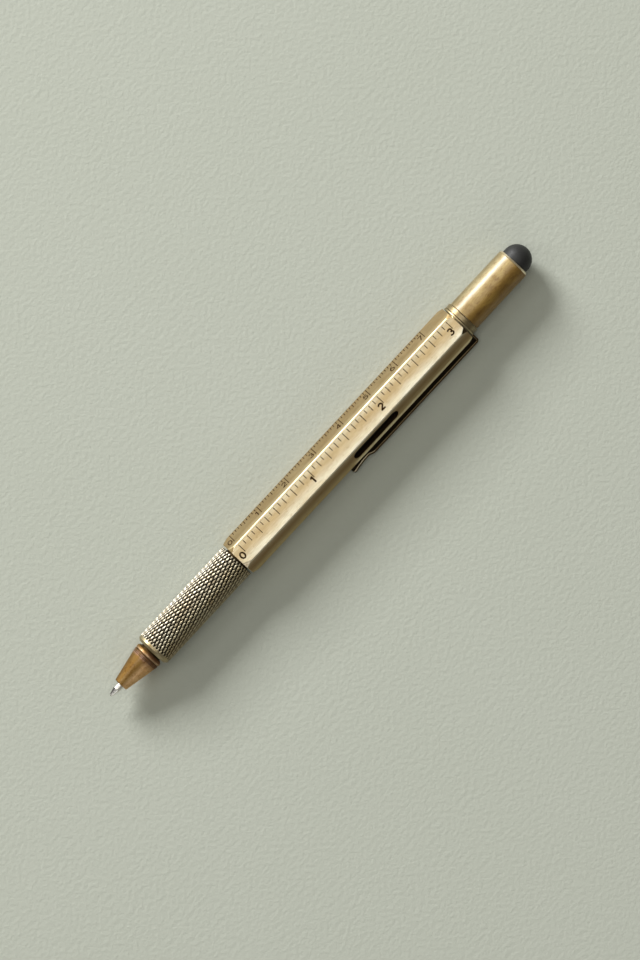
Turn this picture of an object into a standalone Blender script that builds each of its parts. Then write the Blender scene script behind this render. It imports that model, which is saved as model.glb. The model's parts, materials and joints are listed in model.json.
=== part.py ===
"""Multi tool pen with a twist-out refill, spirit level, pocket clip, stylus cap and driver bit.

The pen lies along X with its writing tip towards -X. It rests on one face of its hexagonal
barrel, at Z = 0, with the ruler face up and the clip towards -Y. The origin is the middle of
the resting face. All lengths are in metres.

Every piece is built about the pen's own axis. Its local Z runs from the tip to the cap, and a
station is a place along it, counted from the middle of the barrel.
"""

import math

import bmesh
import bpy
from mathutils import Matrix, Vector

# Fits
SEAT_GAP = 0.00025
FIT_CLEARANCE = 0.00008
CUT_OVERRUN = 0.001
MERGE_DISTANCE = 0.000001

# Facets
OUTER_STEPS = 40
BORE_STEPS = 32
INNER_STEPS = 24
SMALL_STEPS = 16
STEPS_PER_SIDE = 8
ARC_SEGMENTS = 6
ROUND_SEGMENTS = 10
EDGE_SEGMENTS = 3
SMOOTH_DEGREES = 32
ROUND_PROFILE_SHARE = 0.5

# Faces of the hexagon, as degrees round the pen from the resting face
CLIP_FACE_DEGREES = -60
WINDOW_FACE_DEGREES = -120
RULER_FACE_DEGREES = 180
HEXAGON_SIDES = 6

# Barrel
BARREL_LENGTH = 0.0809
BARREL_FLATS = 0.0098
BARREL_WALL = 0.0011
BARREL_CORNER_RADIUS = 0.0005
FRONT_CHAMFER_LENGTH = 0.00175
FRONT_CHAMFER_DEPTH = 0.00042
BACK_CHAMFER_LENGTH = 0.0013
BACK_CHAMFER_DEPTH = 0.00036

# Window in the barrel, and the level behind it
WINDOW_LENGTH = 0.0159
WINDOW_WIDTH = 0.003
WINDOW_BACK_INSET = 0.0265
VIAL_OVERLAP = 0.00105
VIAL_RADIUS = 0.0026
VIAL_WALL = 0.0005
VIAL_END_WALL = 0.0012
VIAL_SINK = 0.00022
VIAL_PLUG_LENGTH = 0.002
CRADLE_WALL = 0.001
CRADLE_LEDGE = 0.0001
BUBBLE_LENGTH = 0.0044
BUBBLE_WIDTH = 0.0024
BUBBLE_DEPTH = 0.0009

# Grip
GRIP_GAP = 0.0005
GRIP_LENGTH = 0.0313
CREST_INSET = 0.000025
COLLAR_INSET = 0.00006
COLLAR_LENGTH = 0.0017
COLLAR_EDGE_RADIUS = 0.0005
KNURL_PITCH = 0.0013
KNURL_DEPTH = 0.00043
KNURL_END_INSET = 0.0003
KNURL_DIAMONDS_ROUND = 32

# Nose
NECK_LENGTH = 0.0005
NOSE_RING_LENGTH = 0.00125
NOSE_RING_RADIUS = 0.0038
NOSE_RING_EDGE_RADIUS = 0.0004
NOSE_GROOVE_WIDTH = 0.00015
NOSE_GROOVE_DEPTH = 0.0002
NOSE_CONE_LENGTH = 0.00955
NOSE_TIP_RADIUS = 0.00186
NOSE_BACK_RADIUS = 0.00378
NOSE_TIP_EDGE = 0.0002
NOSE_LIP_LENGTH = 0.00475
SPIGOT_RADIUS = 0.003
SPIGOT_LENGTH = 0.005

# Refill
REFILL_REACH = 0.00385
REFILL_RADIUS = 0.001175
REFILL_WALL = 0.0003
BALL_RADIUS = 0.00035
BALL_SHOWN_SHARE = 0.4
BALL_SEAT_CLEARANCE = 0.00002
POINT_MOUTH_RADIUS = 0.0004
POINT_CONE_LENGTH = 0.00202
POINT_RADIUS = 0.0009
POINT_HEAD_LENGTH = 0.002
POINT_SPIGOT_LENGTH = 0.003

# Twist mechanism
TWIST_DEGREES = 180
TRAVEL = 0.0055
CAM_INSET = 0.0039
CAM_WALL = 0.0007
CAM_END_WALL = 0.0036
CAM_BACK_INSET = 0.004
DRIVE_TUBE_WALL = 0.0007
DRIVE_TUBE_RELIEF = 0.0003
DRIVE_TUBE_GRIP_LENGTH = 0.0165
PIN_RADIUS = 0.0006
PIN_SETBACK = 0.0025
PLUNGER_GRIP_DEPTH = 0.005
PLUNGER_TAIL = 0.0025
FRICTION_RING_SECTION = 0.0004
FRICTION_RING_INSET = 0.0015
RETAINING_RING_LENGTH = 0.0005
RETAINING_RING_DEPTH = 0.00028
RETAINING_RING_OPENING_DEGREES = 70
DRIVE_TUBE_TAIL = 0.0007

# Clip
CLIP_LENGTH = 0.0451
CLIP_WIDTH = 0.0026
CLIP_THICKNESS = 0.00065
CLIP_GAP = 0.00197
CLIP_DIP = 0.0007
CLIP_LIP_LENGTH = 0.0054
CLIP_BEND_LENGTH = 0.0022
CLIP_CORNER_RADIUS = 0.0007
CLIP_RING_THICKNESS = 0.0005

# Bushing at the top of the barrel, with the collar, the cap's stub and the bit's socket
BUSHING_COLLAR_LENGTH = 0.00105
BUSHING_EDGE = 0.00012
STUB_LENGTH = 0.00595
STUB_RADIUS = 0.0032
MAGNET_LENGTH = 0.0028
MAGNET_INSET = 0.0002
MAGNET_EDGE = 0.00015

# Driver bit
BIT_LENGTH = 0.028
BIT_FLATS = 0.004
BIT_SHANK_RADIUS = 0.0015
BIT_SHANK_LENGTH = 0.005
BIT_TAPER_LENGTH = 0.0012
BIT_HEADROOM = 0.00105
BIT_CONE_LENGTH = 0.0024
BIT_POINT_RADIUS = 0.0005
BIT_BLADE_THICKNESS = 0.0006
BIT_BLADE_LENGTH = 0.0036
BIT_FLUTE_LENGTH = 0.0032
BIT_FLUTE_OFFSET = 0.00032
BIT_FLUTES = 4

# Cap and stylus
CAP_LENGTH = 0.01855
CAP_RADIUS = 0.0045
CAP_FRONT_EDGE = 0.00015
CAP_END_BEVEL_LENGTH = 0.00055
CAP_END_BEVEL_DEPTH = 0.0003
CAP_END_WALL = 0.0022
STYLUS_REACH = 0.00485
STYLUS_SEAT_DEPTH = 0.00235
STYLUS_RIM = 0.00065
STYLUS_WALL = 0.00105
STYLUS_CROWN = 0.0036
PLUG_STEM_RADIUS = 0.0012
PLUG_EDGE = 0.0005

# Radii that follow from the sizes above
AXIS_HEIGHT = BARREL_FLATS / 2
HALF_SIDE_ANGLE = math.pi / HEXAGON_SIDES
BARREL_CORNER_REACH = ((AXIS_HEIGHT - BARREL_CORNER_RADIUS) / math.cos(HALF_SIDE_ANGLE)
                       + BARREL_CORNER_RADIUS)
BORE_RADIUS = AXIS_HEIGHT - BARREL_WALL
SEATED_RADIUS = BORE_RADIUS - FIT_CLEARANCE
GRIP_RADIUS = AXIS_HEIGHT - CREST_INSET
CAM_BORE_RADIUS = SEATED_RADIUS - CAM_WALL
DRIVE_TUBE_RADIUS = CAM_BORE_RADIUS - FIT_CLEARANCE
DRIVE_TUBE_BORE_RADIUS = DRIVE_TUBE_RADIUS - DRIVE_TUBE_WALL
DRIVE_TUBE_FRONT_RADIUS = BORE_RADIUS - DRIVE_TUBE_RELIEF
PLUNGER_RADIUS = DRIVE_TUBE_BORE_RADIUS - FIT_CLEARANCE
VIAL_OFFSET = SEATED_RADIUS - VIAL_SINK - VIAL_RADIUS
VIAL_BORE_RADIUS = VIAL_RADIUS - VIAL_WALL
CLIP_HINGE_HEIGHT = AXIS_HEIGHT + CLIP_GAP + CLIP_THICKNESS / 2
STYLUS_RADIUS = CAP_RADIUS - STYLUS_RIM
STYLUS_BORE_RADIUS = STYLUS_RADIUS - STYLUS_WALL
MAGNET_RADIUS = BIT_FLATS / 2 - FIT_CLEARANCE

# Stations from the barrel towards the tip
BARREL_BACK = BARREL_LENGTH / 2
BARREL_FRONT = -BARREL_BACK
GRIP_BACK = BARREL_FRONT - GRIP_GAP
GRIP_FRONT = GRIP_BACK - GRIP_LENGTH
NOSE_RING_BACK = GRIP_FRONT - NECK_LENGTH
NOSE_RING_FRONT = NOSE_RING_BACK - NOSE_RING_LENGTH
NOSE_CONE_BACK = NOSE_RING_FRONT - NOSE_GROOVE_WIDTH
NOSE_FRONT = NOSE_CONE_BACK - NOSE_CONE_LENGTH
TIP = NOSE_FRONT - REFILL_REACH
BALL_CENTRE = TIP + BALL_RADIUS
POINT_FRONT = TIP + 2 * BALL_RADIUS * BALL_SHOWN_SHARE
POINT_SHOULDER = NOSE_FRONT + NOSE_LIP_LENGTH + SEAT_GAP
POINT_HEAD_BACK = POINT_SHOULDER + POINT_HEAD_LENGTH

# Stations from the barrel towards the cap
CLIP_RING_FRONT = BARREL_BACK + SEAT_GAP
CLIP_RING_BACK = CLIP_RING_FRONT + CLIP_RING_THICKNESS
COLLAR_FRONT = CLIP_RING_BACK + SEAT_GAP
COLLAR_BACK = COLLAR_FRONT + BUSHING_COLLAR_LENGTH
STUB_BACK = COLLAR_BACK + STUB_LENGTH
CAP_FRONT = COLLAR_BACK + SEAT_GAP
CAP_BACK = CAP_FRONT + CAP_LENGTH
STYLUS_FRONT = CAP_BACK - STYLUS_SEAT_DEPTH + SEAT_GAP
STYLUS_BACK = CAP_BACK + STYLUS_REACH
STYLUS_BORE_BACK = STYLUS_BACK - STYLUS_CROWN
CAP_WALL_BACK = CAP_BACK - STYLUS_SEAT_DEPTH
CAP_WALL_FRONT = CAP_WALL_BACK - CAP_END_WALL
BIT_BACK = CAP_WALL_FRONT - BIT_HEADROOM
BIT_FRONT = BIT_BACK - BIT_LENGTH
MAGNET_BACK = BIT_FRONT - SEAT_GAP
MAGNET_FRONT = MAGNET_BACK - MAGNET_LENGTH
BUSHING_FRONT = MAGNET_FRONT - MAGNET_INSET

# Stations inside the barrel
WINDOW_MIDDLE = BARREL_BACK - WINDOW_BACK_INSET - WINDOW_LENGTH / 2
VIAL_FRONT = WINDOW_MIDDLE - WINDOW_LENGTH / 2 - VIAL_OVERLAP
VIAL_BACK = WINDOW_MIDDLE + WINDOW_LENGTH / 2 + VIAL_OVERLAP
VIAL_PLUG_FRONT = VIAL_BACK - VIAL_PLUG_LENGTH
CRADLE_FLOOR = VIAL_FRONT - SEAT_GAP
CRADLE_FRONT = CRADLE_FLOOR - CRADLE_WALL
CRADLE_BACK = VIAL_BACK + SEAT_GAP
CAM_FRONT = BARREL_FRONT + CAM_INSET
CAM_BACK = CRADLE_FRONT - CAM_BACK_INSET
PIN_REST = CAM_BACK - CAM_END_WALL - TRAVEL - PIN_RADIUS
REFILL_BACK = PIN_REST - PIN_SETBACK
PLUNGER_FRONT = REFILL_BACK - PLUNGER_GRIP_DEPTH
PLUNGER_BACK = PIN_REST + PLUNGER_TAIL
RING_FRONT = CAM_BACK + SEAT_GAP
RING_BACK = RING_FRONT + RETAINING_RING_LENGTH
DRIVE_TUBE_BACK = RING_BACK + FIT_CLEARANCE + DRIVE_TUBE_TAIL
DRIVE_TUBE_FRONT = GRIP_BACK - DRIVE_TUBE_GRIP_LENGTH
DRIVE_TUBE_STEP = CAM_FRONT - SEAT_GAP
FRICTION_RING_STATION = BARREL_FRONT + FRICTION_RING_INSET


def clear_scene():
    """Remove every object that the file opened with."""
    for old in list(bpy.data.objects):
        bpy.data.objects.remove(old, do_unlink=True)


def new_collection(name):
    """Make a collection in the scene."""
    collection = bpy.data.collections.new(name)
    bpy.context.scene.collection.children.link(collection)
    return collection


clear_scene()
PARTS = new_collection("multi_tool_pen")
CUTTERS = new_collection("multi_tool_pen_cutters")


def new_empty(name, parent=None, matrix=Matrix.Identity(4)):
    """Make the empty that carries one moving group."""
    empty = bpy.data.objects.new(name, None)
    empty.empty_display_size = BARREL_FLATS
    PARTS.objects.link(empty)
    empty.parent = parent
    empty.matrix_local = matrix
    return empty


def new_material(name, colour, metallic, roughness):
    """Make a plain surface of one colour."""
    material = bpy.data.materials.new(name)
    material.use_nodes = True
    shader = material.node_tree.nodes["Principled BSDF"]
    shader.inputs["Base Color"].default_value = (*colour, 1.0)
    shader.inputs["Metallic"].default_value = metallic
    shader.inputs["Roughness"].default_value = roughness
    material.diffuse_color = (*colour, 1.0)
    return material


def add_part(name, mesh, parent, material, matrix):
    """Link a finished mesh as a named piece of the pen."""
    part = bpy.data.objects.new(name, mesh)
    PARTS.objects.link(part)
    part.parent = parent
    part.matrix_local = matrix
    part.data.materials.clear()
    part.data.materials.append(material)
    shade(part.data)
    return part


def add_cutter(name, mesh, parent, matrix):
    """Link a mesh that only shapes other pieces."""
    cutter = bpy.data.objects.new(name, mesh)
    CUTTERS.objects.link(cutter)
    cutter.parent = parent
    cutter.matrix_local = matrix
    cutter.hide_render = True
    cutter.display_type = 'WIRE'
    return cutter


def combine(part, other, operation='DIFFERENCE'):
    """Cut a piece with another mesh, or keep what both share."""
    boolean = part.modifiers.new(other.name, 'BOOLEAN')
    boolean.operation = operation
    boolean.solver = 'EXACT'
    boolean.object = other


def shade(mesh):
    """Shade a mesh smooth, with its real edges kept sharp."""
    mesh.shade_smooth()
    mesh.set_sharp_from_angle(angle=math.radians(SMOOTH_DEGREES))


def realise(data, name, set_up=None):
    """Turn a curve or an outline with its modifier into a plain mesh."""
    source = bpy.data.objects.new(name, data)
    bpy.context.scene.collection.objects.link(source)
    if set_up:
        set_up(source)
    depsgraph = bpy.context.evaluated_depsgraph_get()
    mesh = bpy.data.meshes.new_from_object(source.evaluated_get(depsgraph))
    bpy.data.objects.remove(source, do_unlink=True)
    mesh.name = name
    weld(mesh)
    return mesh


def weld(mesh):
    """Join vertices that lie on each other."""
    shape = bmesh.new()
    shape.from_mesh(mesh)
    bmesh.ops.remove_doubles(shape, verts=shape.verts, dist=MERGE_DISTANCE)
    shape.to_mesh(mesh)
    shape.free()


def at_station(station):
    """Place on the pen's axis."""
    return Matrix.Translation((0, 0, station))


def beside_axis(station, offset):
    """Place at a distance from the pen's axis, towards the window."""
    angle = math.radians(WINDOW_FACE_DEGREES)
    return Matrix.Translation((offset * math.cos(angle), offset * math.sin(angle), station))


def side_frame(degrees, station, height):
    """Frame whose X runs along the pen and whose Y points out of it."""
    angle = math.radians(degrees)
    outward = Vector((math.cos(angle), math.sin(angle), 0))
    along = Vector((0, 0, 1))
    sideways = along.cross(outward)
    frame = Matrix((along, outward, sideways)).transposed().to_4x4()
    frame.translation = outward * height + along * station
    return frame


def face_frame(degrees, station, height):
    """Frame whose X runs along the pen and whose Z points out of it."""
    angle = math.radians(degrees)
    outward = Vector((math.cos(angle), math.sin(angle), 0))
    along = Vector((0, 0, 1))
    sideways = outward.cross(along)
    frame = Matrix((along, sideways, outward)).transposed().to_4x4()
    frame.translation = outward * height + along * station
    return frame


def arc(station, radius, size, start_degrees, end_degrees, segments):
    """Points round an arc, measured from the cap's direction towards the outside."""
    points = []
    for step in range(segments + 1):
        angle = math.radians(start_degrees + (end_degrees - start_degrees) * step / segments)
        points.append((station + size * math.cos(angle), radius + size * math.sin(angle)))
    return points


def turned_mesh(name, outline, steps, closed):
    """Turn an outline of (station, radius) about the pen's axis.

    The outline runs from the cap's end to the tip's end along the outside. A closed one comes
    back along the bore, and an open one begins and ends on the axis.
    """
    base = min(station for station, radius in outline)
    profile = bpy.data.meshes.new(name)
    count = len(outline)
    edges = [(index, index + 1) for index in range(count - 1)]
    if closed:
        edges.append((count - 1, 0))
    profile.from_pydata([(radius, 0, station - base) for station, radius in outline], edges, [])

    def add_screw(source):
        screw = source.modifiers.new("turn", 'SCREW')
        screw.axis = 'Z'
        screw.angle = math.tau
        screw.steps = steps
        screw.render_steps = steps
        screw.use_merge_vertices = True
        screw.merge_threshold = MERGE_DISTANCE

    return realise(profile, name, add_screw), base


def turned(name, outline, steps, parent, material, closed=False, offset=0):
    """Add a turned piece, on the pen's axis or beside it."""
    mesh, base = turned_mesh(name, outline, steps, closed)
    return add_part(name, mesh, parent, material, beside_axis(base, offset))


def turned_cutter(name, outline, steps, parent, closed=False, offset=0):
    """Add a turned cutter, on the pen's axis or beside it."""
    mesh, base = turned_mesh(name, outline, steps, closed)
    return add_cutter(name, mesh, parent, beside_axis(base, offset))


def rod_outline(front, back, radius, edge=0):
    """Outline of a plain rod, with bevelled ends where an edge is given."""
    if edge == 0:
        return [(back, 0), (back, radius), (front, radius), (front, 0)]
    return [(back, 0), (back, radius - edge), (back - edge, radius),
            (front + edge, radius), (front, radius - edge), (front, 0)]


def tube_outline(front, back, radius, bore):
    """Outline of a plain tube."""
    return [(back, radius), (front, radius), (front, bore), (back, bore)]


def plate_mesh(name, outlines, thickness):
    """Fill flat outlines, the first with the others as holes, and give them a thickness."""
    curve = bpy.data.curves.new(name, 'CURVE')
    curve.dimensions = '2D'
    curve.fill_mode = 'BOTH'
    curve.extrude = thickness / 2
    for outline in outlines:
        spline = curve.splines.new('POLY')
        spline.points.add(len(outline) - 1)
        for point, (across, up) in zip(spline.points, outline):
            point.co = (across, up, 0, 1)
        spline.use_cyclic_u = True
    return realise(curve, name)


def slot_outline(length, width, segments):
    """Outline of a slot with round ends."""
    reach = length / 2 - width / 2
    return (arc(reach, 0, width / 2, -90, 90, segments)
            + arc(-reach, 0, width / 2, 90, 270, segments))


def hexagon_mesh(name, flats, length, corner_radius=0):
    """Hexagonal bar along the pen, with one face down and its long corners rounded."""
    shape = bmesh.new()
    corner = flats / 2 / math.cos(HALF_SIDE_ANGLE)
    bmesh.ops.create_cone(shape, cap_ends=True, segments=HEXAGON_SIDES, radius1=corner,
                          radius2=corner, depth=length)
    if corner_radius:
        corners = [edge for edge in shape.edges if edge.verts[0].co.z * edge.verts[1].co.z < 0]
        setback = corner_radius * math.tan(HALF_SIDE_ANGLE)
        bmesh.ops.bevel(shape, geom=corners, offset=setback, segments=EDGE_SEGMENTS,
                        profile=ROUND_PROFILE_SHARE, affect='EDGES')
    mesh = bpy.data.meshes.new(name)
    shape.to_mesh(mesh)
    shape.free()
    return mesh


def box_mesh(name, size):
    """Box of the given size about its own middle."""
    shape = bmesh.new()
    bmesh.ops.create_cube(shape, size=1, matrix=Matrix.Diagonal((*size, 1)))
    mesh = bpy.data.meshes.new(name)
    shape.to_mesh(mesh)
    shape.free()
    return mesh


def slot_cutter(name, degrees, near, far, length, width, station, parent):
    """Slot with round ends, cut from one distance off the axis to another."""
    depth = far - near
    mesh = plate_mesh(name, [slot_outline(length, width, ARC_SEGMENTS)], depth)
    return add_cutter(name, mesh, parent, face_frame(degrees, station, near + depth / 2))


def make_barrel(parent, material):
    """Hexagonal barrel: bar, turned end chamfers, bore and window."""
    mesh = hexagon_mesh("barrel", BARREL_FLATS, BARREL_LENGTH, BARREL_CORNER_RADIUS)
    barrel = add_part("barrel", mesh, parent, material, at_station(0))
    back_slope = BACK_CHAMFER_DEPTH / BACK_CHAMFER_LENGTH
    front_slope = FRONT_CHAMFER_DEPTH / FRONT_CHAMFER_LENGTH
    clear = BARREL_CORNER_REACH + CUT_OVERRUN
    envelope = [
        (BARREL_BACK + CUT_OVERRUN, 0),
        (BARREL_BACK + CUT_OVERRUN,
         BARREL_CORNER_REACH - BACK_CHAMFER_DEPTH - CUT_OVERRUN * back_slope),
        (BARREL_BACK - BACK_CHAMFER_LENGTH - CUT_OVERRUN / back_slope, clear),
        (BARREL_FRONT + FRONT_CHAMFER_LENGTH + CUT_OVERRUN / front_slope, clear),
        (BARREL_FRONT - CUT_OVERRUN,
         BARREL_CORNER_REACH - FRONT_CHAMFER_DEPTH - CUT_OVERRUN * front_slope),
        (BARREL_FRONT - CUT_OVERRUN, 0),
    ]
    steps = HEXAGON_SIDES * STEPS_PER_SIDE
    combine(barrel, turned_cutter("barrel_envelope", envelope, steps, parent), 'INTERSECT')
    bore = rod_outline(BARREL_FRONT - CUT_OVERRUN, BARREL_BACK + CUT_OVERRUN, BORE_RADIUS)
    combine(barrel, turned_cutter("barrel_bore", bore, BORE_STEPS, parent))
    combine(barrel, slot_cutter("barrel_window", WINDOW_FACE_DEGREES, VIAL_OFFSET, clear,
                                WINDOW_LENGTH, WINDOW_WIDTH, WINDOW_MIDDLE, parent))


def make_level(parent, black, clear_plastic, liquid, plug_plastic):
    """Cradle, vial, plug and the liquid with its bubble."""
    cradle = turned("vial_cradle", rod_outline(CRADLE_FRONT, CRADLE_BACK, SEATED_RADIUS),
                    BORE_STEPS, parent, black)
    seat = rod_outline(CRADLE_FLOOR, CRADLE_BACK + CUT_OVERRUN, VIAL_RADIUS + FIT_CLEARANCE)
    combine(cradle, turned_cutter("vial_seat", seat, INNER_STEPS, parent, offset=VIAL_OFFSET))
    combine(cradle, slot_cutter("cradle_window", WINDOW_FACE_DEGREES, VIAL_OFFSET,
                                BORE_RADIUS + CUT_OVERRUN, WINDOW_LENGTH + 2 * CRADLE_LEDGE,
                                WINDOW_WIDTH + 2 * CRADLE_LEDGE, WINDOW_MIDDLE, parent))

    vial = turned("level_vial", rod_outline(VIAL_FRONT, VIAL_BACK, VIAL_RADIUS), INNER_STEPS,
                  parent, clear_plastic, offset=VIAL_OFFSET)
    floor = VIAL_FRONT + VIAL_END_WALL
    hollow = rod_outline(floor, VIAL_BACK + CUT_OVERRUN, VIAL_BORE_RADIUS)
    combine(vial, turned_cutter("vial_hollow", hollow, INNER_STEPS, parent, offset=VIAL_OFFSET))

    inside = VIAL_BORE_RADIUS - FIT_CLEARANCE
    turned("vial_plug", rod_outline(VIAL_PLUG_FRONT, VIAL_BACK, inside), INNER_STEPS, parent,
           plug_plastic, offset=VIAL_OFFSET)
    front = floor + FIT_CLEARANCE
    back = VIAL_PLUG_FRONT - FIT_CLEARANCE
    filling = turned("level_liquid", rod_outline(front, back, inside), INNER_STEPS, parent,
                     liquid, offset=VIAL_OFFSET)
    combine(filling, bubble_cutter((front + back) / 2, inside, parent))


def bubble_cutter(station, radius, parent):
    """Bubble at the vial's highest line, as it lies when the ruler face is up."""
    shape = bmesh.new()
    size = Matrix.Diagonal((BUBBLE_DEPTH, BUBBLE_WIDTH / 2, BUBBLE_LENGTH / 2, 1))
    bmesh.ops.create_uvsphere(shape, u_segments=SMALL_STEPS, v_segments=SMALL_STEPS // 2,
                              radius=1, matrix=size)
    mesh = bpy.data.meshes.new("bubble")
    shape.to_mesh(mesh)
    shape.free()
    crown = Matrix.Translation(side_frame(RULER_FACE_DEGREES, 0, radius).translation)
    return add_cutter("bubble", mesh, parent, crown @ beside_axis(station, VIAL_OFFSET))


def make_grip(parent, material):
    """Grip sleeve: a turned sleeve whose middle is pressed into a diamond knurl."""
    knurl_front = GRIP_FRONT + COLLAR_LENGTH
    knurl_back = GRIP_BACK - KNURL_END_INSET
    valley = GRIP_RADIUS - KNURL_DEPTH
    collar = GRIP_RADIUS - COLLAR_INSET
    rows = round((knurl_back - knurl_front) / KNURL_PITCH)
    pitch = (knurl_back - knurl_front) / rows
    knurl = [(knurl_back - pitch * row, GRIP_RADIUS) for row in range(rows + 1)]
    edge = COLLAR_EDGE_RADIUS
    front_edge = arc(GRIP_FRONT + edge, collar - edge, edge, 90, 180, EDGE_SEGMENTS)
    screw_bore = SPIGOT_RADIUS + FIT_CLEARANCE
    tube_bore = DRIVE_TUBE_FRONT_RADIUS + FIT_CLEARANCE
    step = DRIVE_TUBE_FRONT - SEAT_GAP
    outline = ([(GRIP_BACK, valley)] + knurl + [(knurl_front - KNURL_END_INSET, collar)]
               + front_edge
               + [(GRIP_FRONT, screw_bore), (step, screw_bore), (step, tube_bore),
                  (GRIP_BACK, tube_bore)])
    columns = 2 * KNURL_DIAMONDS_ROUND
    mesh, base = turned_mesh("grip_sleeve", outline, columns, True)
    press_knurl(mesh, knurl_back - base, pitch, rows, columns, valley)
    add_part("grip_sleeve", mesh, parent, material, at_station(base))


def press_knurl(mesh, back, pitch, rows, columns, valley):
    """Press in every other point of the knurl's grid, which leaves a pyramid at each of the rest.

    A face between four points is split along its shorter diagonal. That one joins two pressed
    points, so the grooves cross the sleeve at a slant, as a knurling wheel leaves them.
    """
    shape = bmesh.new()
    shape.from_mesh(mesh)
    crest = GRIP_RADIUS - MERGE_DISTANCE
    turned_points = [vert for vert in shape.verts if vert.co.xy.length > crest]
    for vert in turned_points:
        column = round(math.atan2(vert.co.y, vert.co.x) / math.tau * columns)
        row = round((back - vert.co.z) / pitch)
        if 0 <= row <= rows and (column + row) % 2:
            vert.co.xy *= valley / vert.co.xy.length
    touched = {face for vert in turned_points for face in vert.link_faces}
    bmesh.ops.triangulate(shape, faces=list(touched), quad_method='SHORT_EDGE')
    shape.to_mesh(mesh)
    shape.free()


def make_nose(parent, material):
    """Nose cone with its groove, rear ring, neck and threaded spigot, bored for the refill."""
    edge = NOSE_RING_EDGE_RADIUS
    groove = NOSE_BACK_RADIUS - NOSE_GROOVE_DEPTH
    spigot_back = NOSE_RING_BACK + NECK_LENGTH + SPIGOT_LENGTH
    point_bore = POINT_RADIUS + FIT_CLEARANCE
    refill_bore = REFILL_RADIUS + FIT_CLEARANCE
    lip_back = NOSE_FRONT + NOSE_LIP_LENGTH
    outline = ([(spigot_back, SPIGOT_RADIUS), (NOSE_RING_BACK, SPIGOT_RADIUS)]
               + arc(NOSE_RING_BACK - edge, NOSE_RING_RADIUS - edge, edge, 0, 90, EDGE_SEGMENTS)
               + [(NOSE_RING_FRONT, NOSE_RING_RADIUS), (NOSE_RING_FRONT, groove),
                  (NOSE_CONE_BACK, groove), (NOSE_CONE_BACK, NOSE_BACK_RADIUS),
                  (NOSE_FRONT + NOSE_TIP_EDGE, NOSE_TIP_RADIUS),
                  (NOSE_FRONT, NOSE_TIP_RADIUS - NOSE_TIP_EDGE),
                  (NOSE_FRONT, point_bore), (lip_back, point_bore), (lip_back, refill_bore),
                  (spigot_back, refill_bore)])
    turned("nose_cone", outline, OUTER_STEPS, parent, material, closed=True)


def make_refill(parent, steel, tube_metal, ball_metal):
    """Ink tube, the point in its front end and the ball in the point."""
    seat = BALL_RADIUS + BALL_SEAT_CLEARANCE
    reach = BALL_CENTRE - POINT_FRONT
    mouth = math.degrees(math.acos(-reach / seat))
    spigot = REFILL_RADIUS - REFILL_WALL - FIT_CLEARANCE
    spigot_back = POINT_HEAD_BACK + POINT_SPIGOT_LENGTH
    point = ([(spigot_back, 0), (spigot_back, spigot), (POINT_HEAD_BACK, spigot),
              (POINT_HEAD_BACK, REFILL_RADIUS), (POINT_SHOULDER, REFILL_RADIUS),
              (POINT_SHOULDER, POINT_RADIUS), (POINT_FRONT + POINT_CONE_LENGTH, POINT_RADIUS),
              (POINT_FRONT, POINT_MOUTH_RADIUS)]
             + arc(BALL_CENTRE, 0, seat, mouth, 0, ARC_SEGMENTS)[:-1]
             + [(BALL_CENTRE + seat, 0)])
    turned("refill_point", point, SMALL_STEPS, parent, steel)
    tube_front = POINT_HEAD_BACK + FIT_CLEARANCE
    turned("refill_tube", tube_outline(tube_front, REFILL_BACK, REFILL_RADIUS,
                                       REFILL_RADIUS - REFILL_WALL),
           SMALL_STEPS, parent, tube_metal, closed=True)
    ball = arc(BALL_CENTRE, 0, BALL_RADIUS, 0, 180, ARC_SEGMENTS)
    ball[0] = (BALL_CENTRE + BALL_RADIUS, 0)
    ball[-1] = (TIP, 0)
    turned("writing_ball", ball, SMALL_STEPS, parent, ball_metal)


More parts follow.
